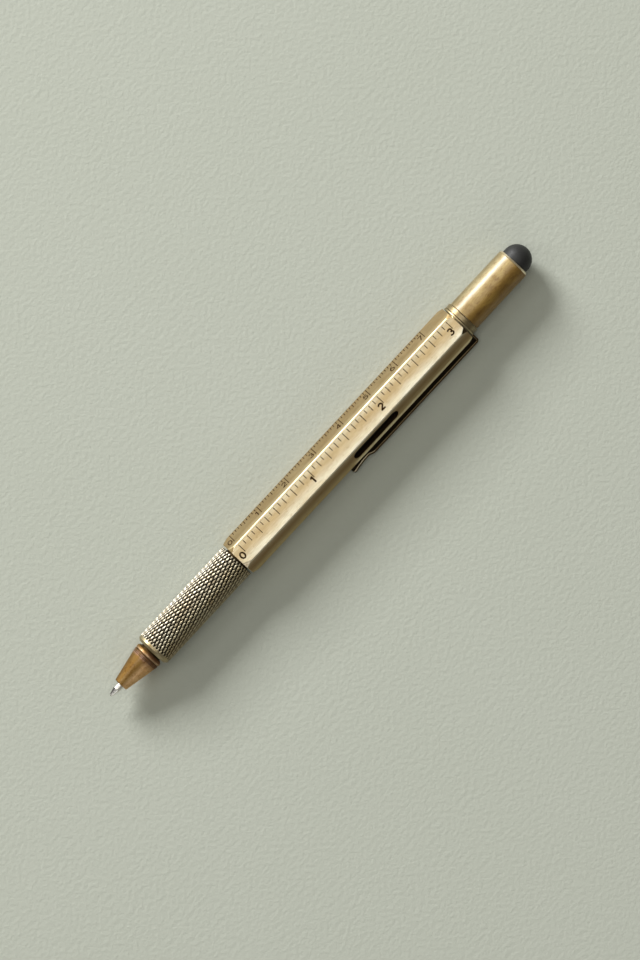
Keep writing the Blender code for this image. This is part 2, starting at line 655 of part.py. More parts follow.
def make_mechanism(barrel_group, twist_group, refill_group, brass, steel, plastic, rubber):
    """Cam sleeve in the barrel, drive tube on the grip, plunger and pin on the refill."""
    sleeve = turned("cam_sleeve",
                    tube_outline(CAM_FRONT, CAM_BACK, SEATED_RADIUS, CAM_BORE_RADIUS),
                    BORE_STEPS, barrel_group, brass, closed=True)
    combine(sleeve, helical_cutter(barrel_group))

    groove_front = RING_FRONT - FIT_CLEARANCE
    groove_back = RING_BACK + FIT_CLEARANCE
    groove = DRIVE_TUBE_RADIUS - RETAINING_RING_DEPTH
    seal = FRICTION_RING_SECTION + FIT_CLEARANCE
    seal_floor = SEATED_RADIUS - 2 * FRICTION_RING_SECTION - FIT_CLEARANCE
    tube = [
        (DRIVE_TUBE_BACK, DRIVE_TUBE_RADIUS), (groove_back, DRIVE_TUBE_RADIUS),
        (groove_back, groove), (groove_front, groove), (groove_front, DRIVE_TUBE_RADIUS),
        (DRIVE_TUBE_STEP, DRIVE_TUBE_RADIUS), (DRIVE_TUBE_STEP, DRIVE_TUBE_FRONT_RADIUS),
        (FRICTION_RING_STATION + seal, DRIVE_TUBE_FRONT_RADIUS),
        (FRICTION_RING_STATION + seal, seal_floor), (FRICTION_RING_STATION - seal, seal_floor),
        (FRICTION_RING_STATION - seal, DRIVE_TUBE_FRONT_RADIUS),
        (DRIVE_TUBE_FRONT, DRIVE_TUBE_FRONT_RADIUS), (DRIVE_TUBE_FRONT, DRIVE_TUBE_BORE_RADIUS),
        (DRIVE_TUBE_BACK, DRIVE_TUBE_BORE_RADIUS),
    ]
    drive = turned("drive_tube", tube, BORE_STEPS, twist_group, brass, closed=True)
    pin_slot = 2 * (PIN_RADIUS + FIT_CLEARANCE)
    combine(drive, slot_cutter("drive_slot", RULER_FACE_DEGREES, 0, SEATED_RADIUS,
                               TRAVEL + pin_slot, pin_slot, PIN_REST + TRAVEL / 2, twist_group))

    section = FRICTION_RING_SECTION
    seal_ring = arc(FRICTION_RING_STATION, SEATED_RADIUS - section, section, 0, -360,
                    ROUND_SEGMENTS)[:-1]
    seal_ring.reverse()
    turned("friction_ring", seal_ring, INNER_STEPS, twist_group, rubber, closed=True)

    keeper = turned("retaining_ring", tube_outline(RING_FRONT, RING_BACK, SEATED_RADIUS,
                                                   groove + FIT_CLEARANCE),
                    INNER_STEPS, twist_group, steel, closed=True)
    half_opening = math.radians(RETAINING_RING_OPENING_DEGREES / 2)
    opening = box_mesh("ring_opening", (BORE_RADIUS, 2 * groove * math.sin(half_opening),
                                        RETAINING_RING_LENGTH + 2 * CUT_OVERRUN))
    place = Matrix.Translation((BORE_RADIUS, 0, (RING_FRONT + RING_BACK) / 2))
    combine(keeper, add_cutter("ring_opening", opening, twist_group, place))

    plunger = turned("plunger", rod_outline(PLUNGER_FRONT, PLUNGER_BACK, PLUNGER_RADIUS),
                     INNER_STEPS, refill_group, plastic)
    socket = rod_outline(PLUNGER_FRONT - CUT_OVERRUN, REFILL_BACK + SEAT_GAP,
                         REFILL_RADIUS + FIT_CLEARANCE)
    combine(plunger, turned_cutter("plunger_socket", socket, SMALL_STEPS, refill_group))
    up = side_frame(RULER_FACE_DEGREES, PIN_REST, 0) @ Matrix.Rotation(-math.pi / 2, 4, 'X')
    hole_mesh, base = turned_mesh("pin_hole", rod_outline(0, BORE_RADIUS, PIN_RADIUS
                                                          + FIT_CLEARANCE), SMALL_STEPS, False)
    combine(plunger, add_cutter("pin_hole", hole_mesh, refill_group, up))
    pin_mesh, base = turned_mesh("cam_pin", rod_outline(FIT_CLEARANCE, SEATED_RADIUS
                                                        - FIT_CLEARANCE, PIN_RADIUS),
                                 SMALL_STEPS, False)
    add_part("cam_pin", pin_mesh, refill_group, steel, up @ at_station(base))


def helical_cutter(parent):
    """Groove that the pin follows: a small block swept round the pen and along it."""
    slope = math.atan(TRAVEL / (math.radians(TWIST_DEGREES) * CAM_BORE_RADIUS))
    half = (PIN_RADIUS + FIT_CLEARANCE) / math.cos(slope)
    lead_in = (PIN_RADIUS + FIT_CLEARANCE) / CAM_BORE_RADIUS
    sweep = math.radians(TWIST_DEGREES) + 2 * lead_in
    rise = TRAVEL * sweep / math.radians(TWIST_DEGREES)
    start = math.radians(RULER_FACE_DEGREES) - lead_in
    base = -TRAVEL * lead_in / math.radians(TWIST_DEGREES)
    steps = INNER_STEPS
    near = CAM_BORE_RADIUS - CAM_WALL
    far = SEATED_RADIUS + CAM_WALL
    shape = bmesh.new()
    corners = [(near, -half), (far, -half), (far, half), (near, half)]
    verts = [shape.verts.new((radius * math.cos(start), radius * math.sin(start), base + along))
             for radius, along in corners]
    face = shape.faces.new(verts)
    bmesh.ops.spin(shape, geom=[face], cent=(0, 0, 0), axis=(0, 0, 1),
                   dvec=(0, 0, rise / steps), angle=sweep, steps=steps, use_duplicate=False)
    bmesh.ops.recalc_face_normals(shape, faces=shape.faces)
    mesh = bpy.data.meshes.new("helical_slot")
    shape.to_mesh(mesh)
    shape.free()
    return add_cutter("helical_slot", mesh, parent, at_station(PIN_REST))


def make_clip_ring(parent, material):
    """Washer clamped at the barrel's top, with the tongue that carries the clip."""
    half = CLIP_WIDTH / 2
    reach = CLIP_HINGE_HEIGHT + CLIP_THICKNESS / 2
    side = math.degrees(math.asin(half / GRIP_RADIUS))
    rim = arc(0, 0, GRIP_RADIUS, 90 + side, 450 - side, OUTER_STEPS)
    hole = arc(0, 0, BORE_RADIUS, 0, 360, BORE_STEPS)[:-1]
    outline = rim + [(half, reach), (-half, reach)]
    mesh = plate_mesh("clip_ring", [outline, hole], CLIP_RING_THICKNESS)
    turn = Matrix.Rotation(math.radians(CLIP_FACE_DEGREES - 90), 4, 'Z')
    add_part("clip_ring", mesh, parent, material,
             at_station((CLIP_RING_FRONT + CLIP_RING_BACK) / 2) @ turn)


def clip_path():
    """Middle line of the clip in side view, from its hinge to its lip."""
    bend_start = CLIP_LENGTH - CLIP_LIP_LENGTH - CLIP_BEND_LENGTH
    path = [(0, 0), (-bend_start, 0)]
    for step in range(1, ARC_SEGMENTS + 1):
        share = step / ARC_SEGMENTS
        depth = CLIP_DIP * (1 - math.cos(math.pi * share)) / 2
        path.append((-bend_start - CLIP_BEND_LENGTH * share, -depth))
    for step in range(1, ARC_SEGMENTS + 1):
        share = step / ARC_SEGMENTS
        depth = CLIP_DIP * (1 - share ** 2)
        path.append((-CLIP_LENGTH + CLIP_LIP_LENGTH * (1 - share), -depth))
    return path


def thicken(path, thickness):
    """Outline of a strip of even thickness along a middle line."""
    near = []
    far = []
    for index, point in enumerate(path):
        before = Vector(path[max(index - 1, 0)])
        after = Vector(path[min(index + 1, len(path) - 1)])
        across = (after - before).normalized().orthogonal() * thickness / 2
        near.append(tuple(Vector(point) + across))
        far.append(tuple(Vector(point) - across))
    return near + far[::-1]


def make_clip_arm(parent, material):
    """Spring blade of the clip, with its pinch, its lip and its rounded end."""
    mesh = plate_mesh("clip_arm", [thicken(clip_path(), CLIP_THICKNESS)], CLIP_WIDTH)
    arm = add_part("clip_arm", mesh, parent, material, Matrix.Identity(4))
    corner = CLIP_CORNER_RADIUS
    half = CLIP_WIDTH / 2 + FIT_CLEARANCE
    plan = ([(CUT_OVERRUN, -half), (CUT_OVERRUN, half)]
            + arc(-CLIP_LENGTH + corner, half - corner, corner, 90, 180, ARC_SEGMENTS)
            + arc(-CLIP_LENGTH + corner, -half + corner, corner, 180, 270, ARC_SEGMENTS))
    blank = plate_mesh("clip_blank", [plan], 2 * (CLIP_DIP + CLIP_THICKNESS))
    lay_flat = Matrix.Rotation(math.pi / 2, 4, 'X')
    combine(arm, add_cutter("clip_blank", blank, parent, lay_flat), 'INTERSECT')


def make_bushing(parent, brass, magnet_metal):
    """Threaded bushing with its collar, stub and hexagonal socket, and the bit's magnet."""
    edge = BUSHING_EDGE
    collar = GRIP_RADIUS
    outline = [
        (STUB_BACK, 0), (STUB_BACK, STUB_RADIUS - edge), (STUB_BACK - edge, STUB_RADIUS),
        (COLLAR_BACK, STUB_RADIUS), (COLLAR_BACK, collar - edge), (COLLAR_BACK - edge, collar),
        (COLLAR_FRONT + edge, collar), (COLLAR_FRONT, collar - edge),
        (COLLAR_FRONT, SEATED_RADIUS), (BUSHING_FRONT, SEATED_RADIUS), (BUSHING_FRONT, 0),
    ]
    bushing = turned("top_bushing", outline, OUTER_STEPS, parent, brass)
    length = STUB_BACK + CUT_OVERRUN - MAGNET_BACK
    socket = hexagon_mesh("bit_socket", BIT_FLATS + 2 * FIT_CLEARANCE, length)
    middle = at_station(MAGNET_BACK + length / 2)
    combine(bushing, add_cutter("bit_socket", socket, parent, middle))
    pocket = rod_outline(BUSHING_FRONT - CUT_OVERRUN, MAGNET_BACK + SEAT_GAP,
                         MAGNET_RADIUS + FIT_CLEARANCE)
    combine(bushing, turned_cutter("magnet_pocket", pocket, INNER_STEPS, parent))
    turned("bit_magnet", rod_outline(MAGNET_FRONT, MAGNET_BACK, MAGNET_RADIUS, MAGNET_EDGE),
           INNER_STEPS, parent, magnet_metal)


def make_bit(parent, material):
    """Double-ended bit: hexagonal body, turned shanks, a slotted blade and a cross point."""
    mesh = hexagon_mesh("driver_bit", BIT_FLATS, BIT_LENGTH)
    bit = add_part("driver_bit", mesh, parent, material, at_station((BIT_FRONT + BIT_BACK) / 2))
    clear = BIT_FLATS
    shank = BIT_SHANK_LENGTH
    envelope = [
        (BIT_BACK + CUT_OVERRUN, 0), (BIT_BACK + CUT_OVERRUN, BIT_POINT_RADIUS),
        (BIT_BACK, BIT_POINT_RADIUS), (BIT_BACK - BIT_CONE_LENGTH, BIT_SHANK_RADIUS),
        (BIT_BACK - shank, BIT_SHANK_RADIUS), (BIT_BACK - shank - BIT_TAPER_LENGTH, clear),
        (BIT_FRONT + shank + BIT_TAPER_LENGTH, clear), (BIT_FRONT + shank, BIT_SHANK_RADIUS),
        (BIT_FRONT - CUT_OVERRUN, BIT_SHANK_RADIUS), (BIT_FRONT - CUT_OVERRUN, 0),
    ]
    combine(bit, turned_cutter("bit_envelope", envelope, INNER_STEPS, parent), 'INTERSECT')
    cone_slope = (BIT_SHANK_RADIUS - BIT_POINT_RADIUS) / BIT_CONE_LENGTH
    for flute in range(BIT_FLUTES):
        cutter = box_mesh(f"bit_flute_{flute + 1}", (BIT_FLATS, BIT_FLATS, 2 * BIT_FLUTE_LENGTH))
        turn = Matrix.Rotation(math.tau * (flute + 1 / 2) / BIT_FLUTES, 4, 'Z')
        lean = Matrix.Rotation(-math.atan(cone_slope), 4, 'Y')
        corner = BIT_FLUTE_OFFSET + BIT_FLATS / math.sqrt(2)
        out = Matrix.Translation((corner, 0, 0)) @ Matrix.Rotation(math.pi / 4, 4, 'Z')
        place = at_station(BIT_BACK) @ turn @ lean @ out
        combine(bit, add_cutter(cutter.name, cutter, parent, place))
    blade_slope = (BIT_SHANK_RADIUS - BIT_BLADE_THICKNESS / 2) / BIT_BLADE_LENGTH
    for side in (1, -1):
        cutter = box_mesh(f"bit_blade_{1 if side > 0 else 2}",
                          (BIT_FLATS, BIT_FLATS, 2 * BIT_BLADE_LENGTH))
        lean = Matrix.Rotation(side * math.atan(blade_slope), 4, 'Y')
        out = Matrix.Translation((side * BIT_FLATS / 2, 0, 0))
        start = Matrix.Translation((side * BIT_BLADE_THICKNESS / 2, 0, BIT_FRONT))
        combine(bit, add_cutter(cutter.name, cutter, parent, start @ lean @ out))


def make_cap(parent, brass, rubber, plastic):
    """Cap tube with its end wall, the rubber stylus tip and the plug that holds it."""
    front_edge = CAP_FRONT_EDGE
    bore = STUB_RADIUS + FIT_CLEARANCE
    stem_hole = PLUG_STEM_RADIUS + FIT_CLEARANCE
    seat = STYLUS_RADIUS + FIT_CLEARANCE
    outline = [
        (CAP_BACK, CAP_RADIUS - CAP_END_BEVEL_DEPTH),
        (CAP_BACK - CAP_END_BEVEL_LENGTH, CAP_RADIUS),
        (CAP_FRONT + front_edge, CAP_RADIUS), (CAP_FRONT, CAP_RADIUS - front_edge),
        (CAP_FRONT, bore), (CAP_WALL_FRONT, bore), (CAP_WALL_FRONT, stem_hole),
        (CAP_WALL_BACK, stem_hole), (CAP_WALL_BACK, seat), (CAP_BACK, seat),
    ]
    turned("cap_tube", outline, OUTER_STEPS, parent, brass, closed=True)

    crown = arc(STYLUS_BACK - STYLUS_RADIUS, 0, STYLUS_RADIUS, 0, 90, ROUND_SEGMENTS)
    crown[0] = (STYLUS_BACK, 0)
    tip = crown + [
        (STYLUS_FRONT, STYLUS_RADIUS), (STYLUS_FRONT, STYLUS_BORE_RADIUS),
        (STYLUS_BORE_BACK - PLUG_EDGE, STYLUS_BORE_RADIUS),
        (STYLUS_BORE_BACK, STYLUS_BORE_RADIUS - PLUG_EDGE), (STYLUS_BORE_BACK, 0),
    ]
    turned("stylus_tip", tip, BORE_STEPS, parent, rubber)

    head = STYLUS_BORE_RADIUS - FIT_CLEARANCE
    head_back = STYLUS_BORE_BACK - SEAT_GAP
    stem_front = CAP_WALL_FRONT + SEAT_GAP
    plug = [
        (head_back, 0), (head_back, head - PLUG_EDGE), (head_back - PLUG_EDGE, head),
        (STYLUS_FRONT, head), (STYLUS_FRONT, PLUG_STEM_RADIUS), (stem_front, PLUG_STEM_RADIUS),
        (stem_front, 0),
    ]
    turned("stylus_plug", plug, INNER_STEPS, parent, plastic)


def make_pen():
    """Build every piece on the empty that carries it."""
    brass = new_material("brass", (0.62, 0.46, 0.22), 1.0, 0.32)
    aged_brass = new_material("aged_brass", (0.50, 0.30, 0.12), 1.0, 0.36)
    knurled_brass = new_material("knurled_brass", (0.60, 0.53, 0.36), 1.0, 0.34)
    steel = new_material("steel", (0.55, 0.55, 0.56), 1.0, 0.28)
    dark_steel = new_material("dark_steel", (0.22, 0.22, 0.23), 1.0, 0.4)
    rubber = new_material("rubber", (0.045, 0.046, 0.05), 0.0, 0.7)
    black_plastic = new_material("black_plastic", (0.02, 0.02, 0.02), 0.0, 0.45)
    white_plastic = new_material("white_plastic", (0.75, 0.75, 0.72), 0.0, 0.4)
    clear_plastic = new_material("clear_plastic", (0.80, 0.88, 0.82), 0.0, 0.08)
    liquid = new_material("green_liquid", (0.30, 0.62, 0.12), 0.0, 0.05)

    lay_down = Matrix.Translation((0, 0, AXIS_HEIGHT)) @ Matrix.Rotation(math.pi / 2, 4, 'Y')
    barrel_group = new_empty("pen_axis", matrix=lay_down)
    twist_group = new_empty("twist_axis", barrel_group)
    nose_group = new_empty("nose_axis", twist_group)
    refill_group = new_empty("refill_axis", twist_group)
    cap_group = new_empty("cap_axis", barrel_group)
    bit_group = new_empty("bit_axis", barrel_group)
    clip_group = new_empty("clip_hinge", barrel_group,
                           side_frame(CLIP_FACE_DEGREES, BARREL_BACK, CLIP_HINGE_HEIGHT))

    make_barrel(barrel_group, brass)
    make_level(barrel_group, black_plastic, clear_plastic, liquid, white_plastic)
    make_mechanism(barrel_group, twist_group, refill_group, brass, steel, white_plastic, rubber)
    make_grip(twist_group, knurled_brass)
    make_nose(nose_group, aged_brass)
    make_refill(refill_group, steel, dark_steel, steel)
    make_clip_ring(barrel_group, aged_brass)
    make_clip_arm(clip_group, aged_brass)
    make_bushing(barrel_group, brass, dark_steel)
    make_bit(bit_group, dark_steel)
    make_cap(cap_group, brass, rubber, black_plastic)
    bpy.context.view_layer.update()


make_pen()
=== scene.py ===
"""Looks of the multi tool pen: antique brass with engraved scales, a knurled grip and a stylus.

The pen lies along X with its writing tip towards -X, its ruler face up and its clip towards -Y.
Lengths are in metres. A station is a place along X, and a radius is counted from the pen's axis.
Degrees round the pen start at the resting face, with -60 at the clip and 180 at the ruler.
A chamfer, edge or bevel is (length along X, depth), and a pair of fillets is (back, front).
"""

import json
import math

import bmesh
import bpy
from mathutils import Matrix, Vector


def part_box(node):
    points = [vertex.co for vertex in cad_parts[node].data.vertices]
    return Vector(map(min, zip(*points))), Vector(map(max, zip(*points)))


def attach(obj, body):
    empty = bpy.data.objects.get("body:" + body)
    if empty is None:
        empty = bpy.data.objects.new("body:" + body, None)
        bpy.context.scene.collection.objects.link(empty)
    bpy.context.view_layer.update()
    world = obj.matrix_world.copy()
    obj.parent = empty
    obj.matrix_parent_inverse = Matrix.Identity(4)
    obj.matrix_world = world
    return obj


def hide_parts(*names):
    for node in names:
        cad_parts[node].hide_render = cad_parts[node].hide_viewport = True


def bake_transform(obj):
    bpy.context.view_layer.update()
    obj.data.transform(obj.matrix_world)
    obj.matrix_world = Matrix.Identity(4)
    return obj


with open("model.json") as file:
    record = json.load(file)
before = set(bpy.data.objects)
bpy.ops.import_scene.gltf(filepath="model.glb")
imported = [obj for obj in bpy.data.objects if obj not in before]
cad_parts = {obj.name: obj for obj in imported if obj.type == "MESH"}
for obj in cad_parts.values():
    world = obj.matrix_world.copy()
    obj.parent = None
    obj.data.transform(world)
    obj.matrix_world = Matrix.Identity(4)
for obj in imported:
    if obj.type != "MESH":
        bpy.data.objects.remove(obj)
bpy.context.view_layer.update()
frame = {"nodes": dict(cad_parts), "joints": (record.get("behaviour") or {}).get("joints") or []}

# Sizes read from the frame
AXIS_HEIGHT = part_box("barrel")[1].z / 2


def span(node):
    """Front station, back station and outer radius of a turned node."""
    low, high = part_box(node)
    return low.x, high.x, high.z - AXIS_HEIGHT


BARREL_FRONT, BARREL_BACK, FACE_HEIGHT = span("barrel")
GRIP_FRONT, GRIP_BACK, GRIP_RADIUS = span("grip_sleeve")
NOSE_FRONT, SPIGOT_BACK, NOSE_RING_RADIUS = span("nose_cone")
POINT_FRONT, POINT_BACK, POINT_WIDEST = span("refill_point")
TIP, BALL_RADIUS = span("writing_ball")[::2]
BUSHING_FRONT, STUB_BACK, COLLAR_RADIUS = span("top_bushing")
RING_FRONT, RING_BACK, RING_RADIUS = span("clip_ring")
CAP_FRONT, CAP_BACK, CAP_RADIUS = span("cap_tube")
STYLUS_FRONT, STYLUS_BACK, STYLUS_RADIUS = span("stylus_tip")
BIT_HALF_FLATS = span("driver_bit")[2]
MAGNET_BACK, MAGNET_RADIUS = span("bit_magnet")[1:]
VIAL_FRONT, VIAL_BACK = span("level_vial")[:2]
SEATED_RADIUS = span("vial_cradle")[2]
CLIP_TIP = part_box("clip_arm")[0].x
CLIP_HINGE = next(joint["pos_m"] for joint in frame["joints"] if joint["name"] == "clip_flex")
CLIP_HEIGHT = math.hypot(CLIP_HINGE[1], CLIP_HINGE[2] - AXIS_HEIGHT)

# Faces of the hexagon
CLIP_FACE = -60
WINDOW_FACE = -120
RULER_FACE = 180
METRIC_FACE = 120
SIDES = 6

# Facets
TURN_COLUMNS = 128
SMALL_COLUMNS = 64
FILLET_STEPS = 5
SUPPORT = 0.00003
SHARP_DEGREES = 32
WELD = 0.0000005

# Fits: room on the radius, and between pieces that stand end to end
FIT = 0.00008
SEAM = 0.00025

# Barrel
CORNER_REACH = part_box("barrel")[1].y
CORNER_STRETCH = 1 / math.cos(math.pi / SIDES)
CORNER_RADIUS = (FACE_HEIGHT * CORNER_STRETCH - CORNER_REACH) / (CORNER_STRETCH - 1)
CRISP_RADIUS = 0.00034
BORE_RADIUS = 0.0038
FLAT_COLUMNS = 56
CORNER_COLUMNS = 12
FRONT_CHAMFER = (0.00175, 0.00042)
BACK_CHAMFER = (0.0013, 0.00036)
CHAMFER_BLEND = 0.00013
CHAMFER_ROW = 0.00006
CHAMFER_LEAN = 0.12
FACET_LEAN = 0.19
FACET_BLEND = 0.06
FACET_RISE = 0.88
FACET_SIDE = CORNER_REACH / 4
RIM_FILLET = 0.00007
RIM_ROWS = 4

# Window
WINDOW_MIDDLE = (VIAL_FRONT + VIAL_BACK) / 2
WINDOW_LENGTH = 0.0159
WINDOW_WIDTH = 0.003
WINDOW_CHAMFER = 0.00006
WINDOW_STEPS = 16

# Engraving
ENGRAVING_DEPTH = 0.00006
ENGRAVING_RISE = 0.0004
TICK_WIDTH = 0.00021
SCALE_INSET = 0.0027
INCH = 0.0254
SIXTEENTHS = 16
INCHES = 3
MILLIMETRE = 0.001
MILLIMETRES = 10
CENTIMETRES = 7
DIGIT_STEPS = 20

# Each scale's ticks, as (every how many, length), and its numerals
INCH_STYLE = {
    "ticks": ((4, 0.00235), (2, 0.00175), (1, 0.00115)),
    "start": 0.00227, "height": 0.00185, "stretch": 1.15, "weight": 0.0004, "drop": -0.0003,
    "offsets": (0.00118, 0.00068, 0.00103, 0.00096)}
METRIC_STYLE = {
    "ticks": ((10, 0.00375), (5, 0.0016), (1, 0.0011)),
    "start": 0.0025, "height": 0.00202, "stretch": 1.02, "weight": 0.0003, "drop": -0.0001,
    "offsets": (0.0011, 0.00112, 0.0012, 0.00122, 0.0012, 0.0012, 0.00145, 0.00107)}

# Grip
KNURL_FRONT = GRIP_FRONT + 0.0014
KNURL_BACK = GRIP_BACK - 0.00006
KNURL_PITCH = 0.0013
KNURL_DIAMONDS = 32
KNURL_STEPS = 6
KNURL_DEPTH = 0.00038
KNURL_SWELL = 1.6
KNURL_FLANK = 0.6
KNURL_LEAN = 0.12
KNURL_SHALLOW = 0.18
LEAN_EDGE = 0.0007
LEAN_REACH = 0.0011
KNURL_FRONT_RUN = 0.00016
KNURL_BACK_RUN = 0.0001
KNURL_END_SHARE = 0.8
COLLAR_INSET = 0.00006
COLLAR_EDGE = (0.00062, 0.0006)
COLLAR_FILLET = 0.00018
COLLAR_BACK = GRIP_FRONT + 0.0011
GRIP_GROOVE = 0.00016
SPIGOT_RADIUS = 0.003
TUBE_RADIUS = 0.0035
TUBE_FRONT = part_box("drive_tube")[0].x - SEAM

# Threads
THREAD_PITCH = 0.00075
THREAD_DEPTH = 0.0003
THREAD_ROWS = 8
THREAD_COLUMNS = 96

# Nose
NOSE_TIP_RADIUS = 0.00186
NOSE_BACK_RADIUS = 0.00378
NOSE_TIP_FILLET = 0.00022
LIP_BACK = NOSE_FRONT + 0.00475
CONE_BACK = NOSE_FRONT + 0.00955
CONE_FILLET = 0.00006
GROOVE_WIDTH = 0.00018
GROOVE_DEPTH = 0.0002
LINE_WIDTH = 0.00006
LINE_INSET = 0.0002
LINE_STEP = 0.0003
LINES = 3
BEAD_FRONT = CONE_BACK + GROOVE_WIDTH
BEAD_BACK = GRIP_FRONT - 0.0005
# Width of the bead's painted highlight band
BEAD_GLINT_WIDTH = 0.0004
BEAD_STEP = 0.0005
BEAD_EDGE = 0.00045
BEAD_FILLETS = (0.0006, 0.00015)
THREAD_INSET = 0.0003

# Refill
REFILL_RADIUS = 0.001175
POINT_RADIUS = 0.0009
POINT_TAIL_RADIUS = 0.000795
POINT_MOUTH = 0.0004
POINT_SHOULDER = POINT_FRONT + 0.00202
SHOULDER_FILLET = 0.0003
HEAD_FRONT = LIP_BACK + SEAM
HEAD_LENGTH = 0.002
HEAD_FILLET = 0.00008
BALL_ROOM = 0.00002
SEAT_DEPTH = 0.0002
BALL_STEPS = 20
BALL_COLUMNS = 40

# Clip
CLIP_WIDTH = 0.0026
CLIP_THICKNESS = 0.00065
CLIP_EDGE = 0.00016
CLIP_CORNER = 0.0007
CLIP_BEND = 0.0006
CLIP_ROOT = 0.0002
BEND_STEPS = 8
BLADE_STEPS = 12
TAPER_STEPS = 9
PINCH_LENGTH = 0.0022
PINCH_STEPS = 10
CLIP_DIP = 0.0007
LIP_LENGTH = 0.0054
LIP_SHARES = (0.12, 0.25, 0.37, 0.5, 0.62, 0.75, 0.86, 0.9, 0.94, 0.965, 0.982, 0.993, 1)
# Length of the clip's pale lip: wear and painted highlight
LIP_WEAR_GLINT = 0.008
WASHER_FILLET = 0.0001

# Bushing
COLLAR_REACH = 0.00018
STUB_RADIUS = 0.0032
STUB_GROOVE = 0.0001
STUB_RELIEF = 0.0006
THREAD_START = 0.0007
THREAD_END = 0.0002
COLLAR_FILLETS = (0.00018, 0.00012)
BUSHING_FILLET = 0.0001
SOCKET_FLARE = 1.12
FLARE_START = 0.0003
FLARE_OVERCUT = 0.0001
POCKET_OVERCUT = 0.001

# Cap and stylus
STEM_RADIUS = 0.0012
# Widths of the cap's pale rims: wear and painted highlight
CAP_WORN_GLINT_FRONT = 0.00006
CAP_WORN_GLINT_BACK = 0.0003
CAP_BEVEL = (0.00055, 0.0003)
CAP_FILLET = 0.0001
SEAT_FILLET = 0.00006
STYLUS_SEAT = 0.00235
CAP_WALL = 0.0022
STYLUS_WALL = 0.00105
STYLUS_CROWN = 0.0036
CROWN_EDGE = 0.0005
DOME_STEPS = 28

# Patina, wear, painted light and painted shade: ramps over the object at rest, from where a tint
# starts to where it is full
BARREL_SIDES = (-0.0045, 0.0045)
WINDOW_SHEEN = (-0.0042, -0.0052)
CLIP_GLINT_REACH = (-0.00495, -0.00525)
CLIP_GLINT_START = (CLIP_TIP + 0.0012, CLIP_TIP + 0.003)
RULER_SHEEN = (0.0003, -0.0021)
RULER_TOP = (2 * AXIS_HEIGHT - 0.0003, 2 * AXIS_HEIGHT - 0.00004)
HIGHLIGHT_REACH = (0.00496, 0.00535, 0, 0.8)
HIGHLIGHT_HEIGHT = (AXIS_HEIGHT + 0.0028, AXIS_HEIGHT + 0.0034)
HIGHLIGHT_LIMIT = (-0.0031, -0.0027, 0.25, 1)
HIGHLIGHT_SIDES = (-0.001, 0.001)
HIGHLIGHT_END = (0.0027, 0.003)
RIM_REACH = (0.0053, 0.00548)
RIM_HEIGHT = (AXIS_HEIGHT + 0.00462, AXIS_HEIGHT + 0.0048)
RIM_FRONT = (BARREL_FRONT + 0.0015, BARREL_FRONT + 0.0019)
RIM_BACK = (BARREL_BACK - 0.0011, BARREL_BACK - 0.0014)
RIM_SIDES = (-0.002, 0.002)
KNURL_SHADE_SIDES = (-0.0018, 0.001)
KNURL_HIGHLIGHT = (0.0026, 0.0038)
KNURL_WORN = (GRIP_RADIUS - 0.00018, GRIP_RADIUS - 0.00006)
CAP_LIGHT_SIDES = (-0.0018, 0.0024)
CAP_SHADE = (-0.0004, -0.003)
NOSE_SHADE_START = (GRIP_FRONT - 0.0044, GRIP_FRONT - 0.0024)
NOSE_SHADE_SIDE = (0.0016, -0.0004)
NOSE_GLINT_START = (GRIP_FRONT - 0.0034, GRIP_FRONT - 0.0028)
NOSE_GLINT_END = (GRIP_FRONT - 0.0019, GRIP_FRONT - 0.0021)
NOSE_SIDE_GLINT = (-0.0001, -0.0012)
POINT_SHADE_SIDE = (0.0001, 0.00025)
POINT_SHADE_END = (POINT_FRONT + 0.0022, POINT_FRONT + 0.0019)

# Floor, light and camera
FLOOR_REACH = 4
KEY_DISTANCE = 2.4
KEY_RISE = math.radians(25.6)
KEY_SWING = math.radians(9.5)
LIGHTS = (
    ("key", (KEY_DISTANCE * math.cos(KEY_RISE) * math.sin(KEY_SWING),
             KEY_DISTANCE * math.cos(KEY_RISE) * math.cos(KEY_SWING),
             KEY_DISTANCE * math.sin(KEY_RISE)), (0.96, 0.8), 77, (1, 1, 1)),
    ("overhead", (0, 0.1, 1.3), (0.82, 0.82), 3.8, (1, 0.985, 0.92)),
    ("window", (-0.6, 0.6, 0.84), (0.3, 0.3), 1.2, (1, 1, 1)),
    ("card", (-0.66, -0.82, 0.58), (0.35, 0.35), 1.1, (1, 1, 1)))
ROOM_COLOUR = (1, 0.98, 0.86, 1)
ROOM_STRENGTH = 0.12
CAMERA_LENS = 208.97
CAMERA_PLACE = (-0.01195, -0.0016, 1.4049)
CAMERA_TURN = math.radians(-47.05)


def new_surface(name):
    """Make a node material and give it back with its node tree and shader."""
    material = bpy.data.materials.new(name)
    material.use_nodes = True
    return material, material.node_tree, material.node_tree.nodes["Principled BSDF"]


def set_values(target, **values):
    """Set sockets of a node by name, with spaces written as underscores."""
    for name, value in values.items():
        target.inputs[name.replace("_", " ")].default_value = value


def grain(tree, scale, detail, rough, stretch=(1, 1, 1), distortion=0):
    """Noise over the object at rest, stretched along its axes."""
    place = tree.nodes.new("ShaderNodeTexCoord")
    mapping = tree.nodes.new("ShaderNodeMapping")
    noise = tree.nodes.new("ShaderNodeTexNoise")
    set_values(mapping, Scale=stretch)
    set_values(noise, Scale=scale, Detail=detail, Roughness=rough, Distortion=distortion)
    tree.links.new(place.outputs["Object"], mapping.inputs["Vector"])
    tree.links.new(mapping.outputs["Vector"], noise.inputs["Vector"])
    return noise.outputs["Fac"]


def levels(tree, value, low, high, to_low=0.0, to_high=1.0):
    """Spread a range of a value over another range, clamped."""
    node = tree.nodes.new("ShaderNodeMapRange")
    set_values(node, From_Min=low, From_Max=high, To_Min=to_low, To_Max=to_high)
    tree.links.new(value, node.inputs["Value"])
    return node.outputs["Result"]


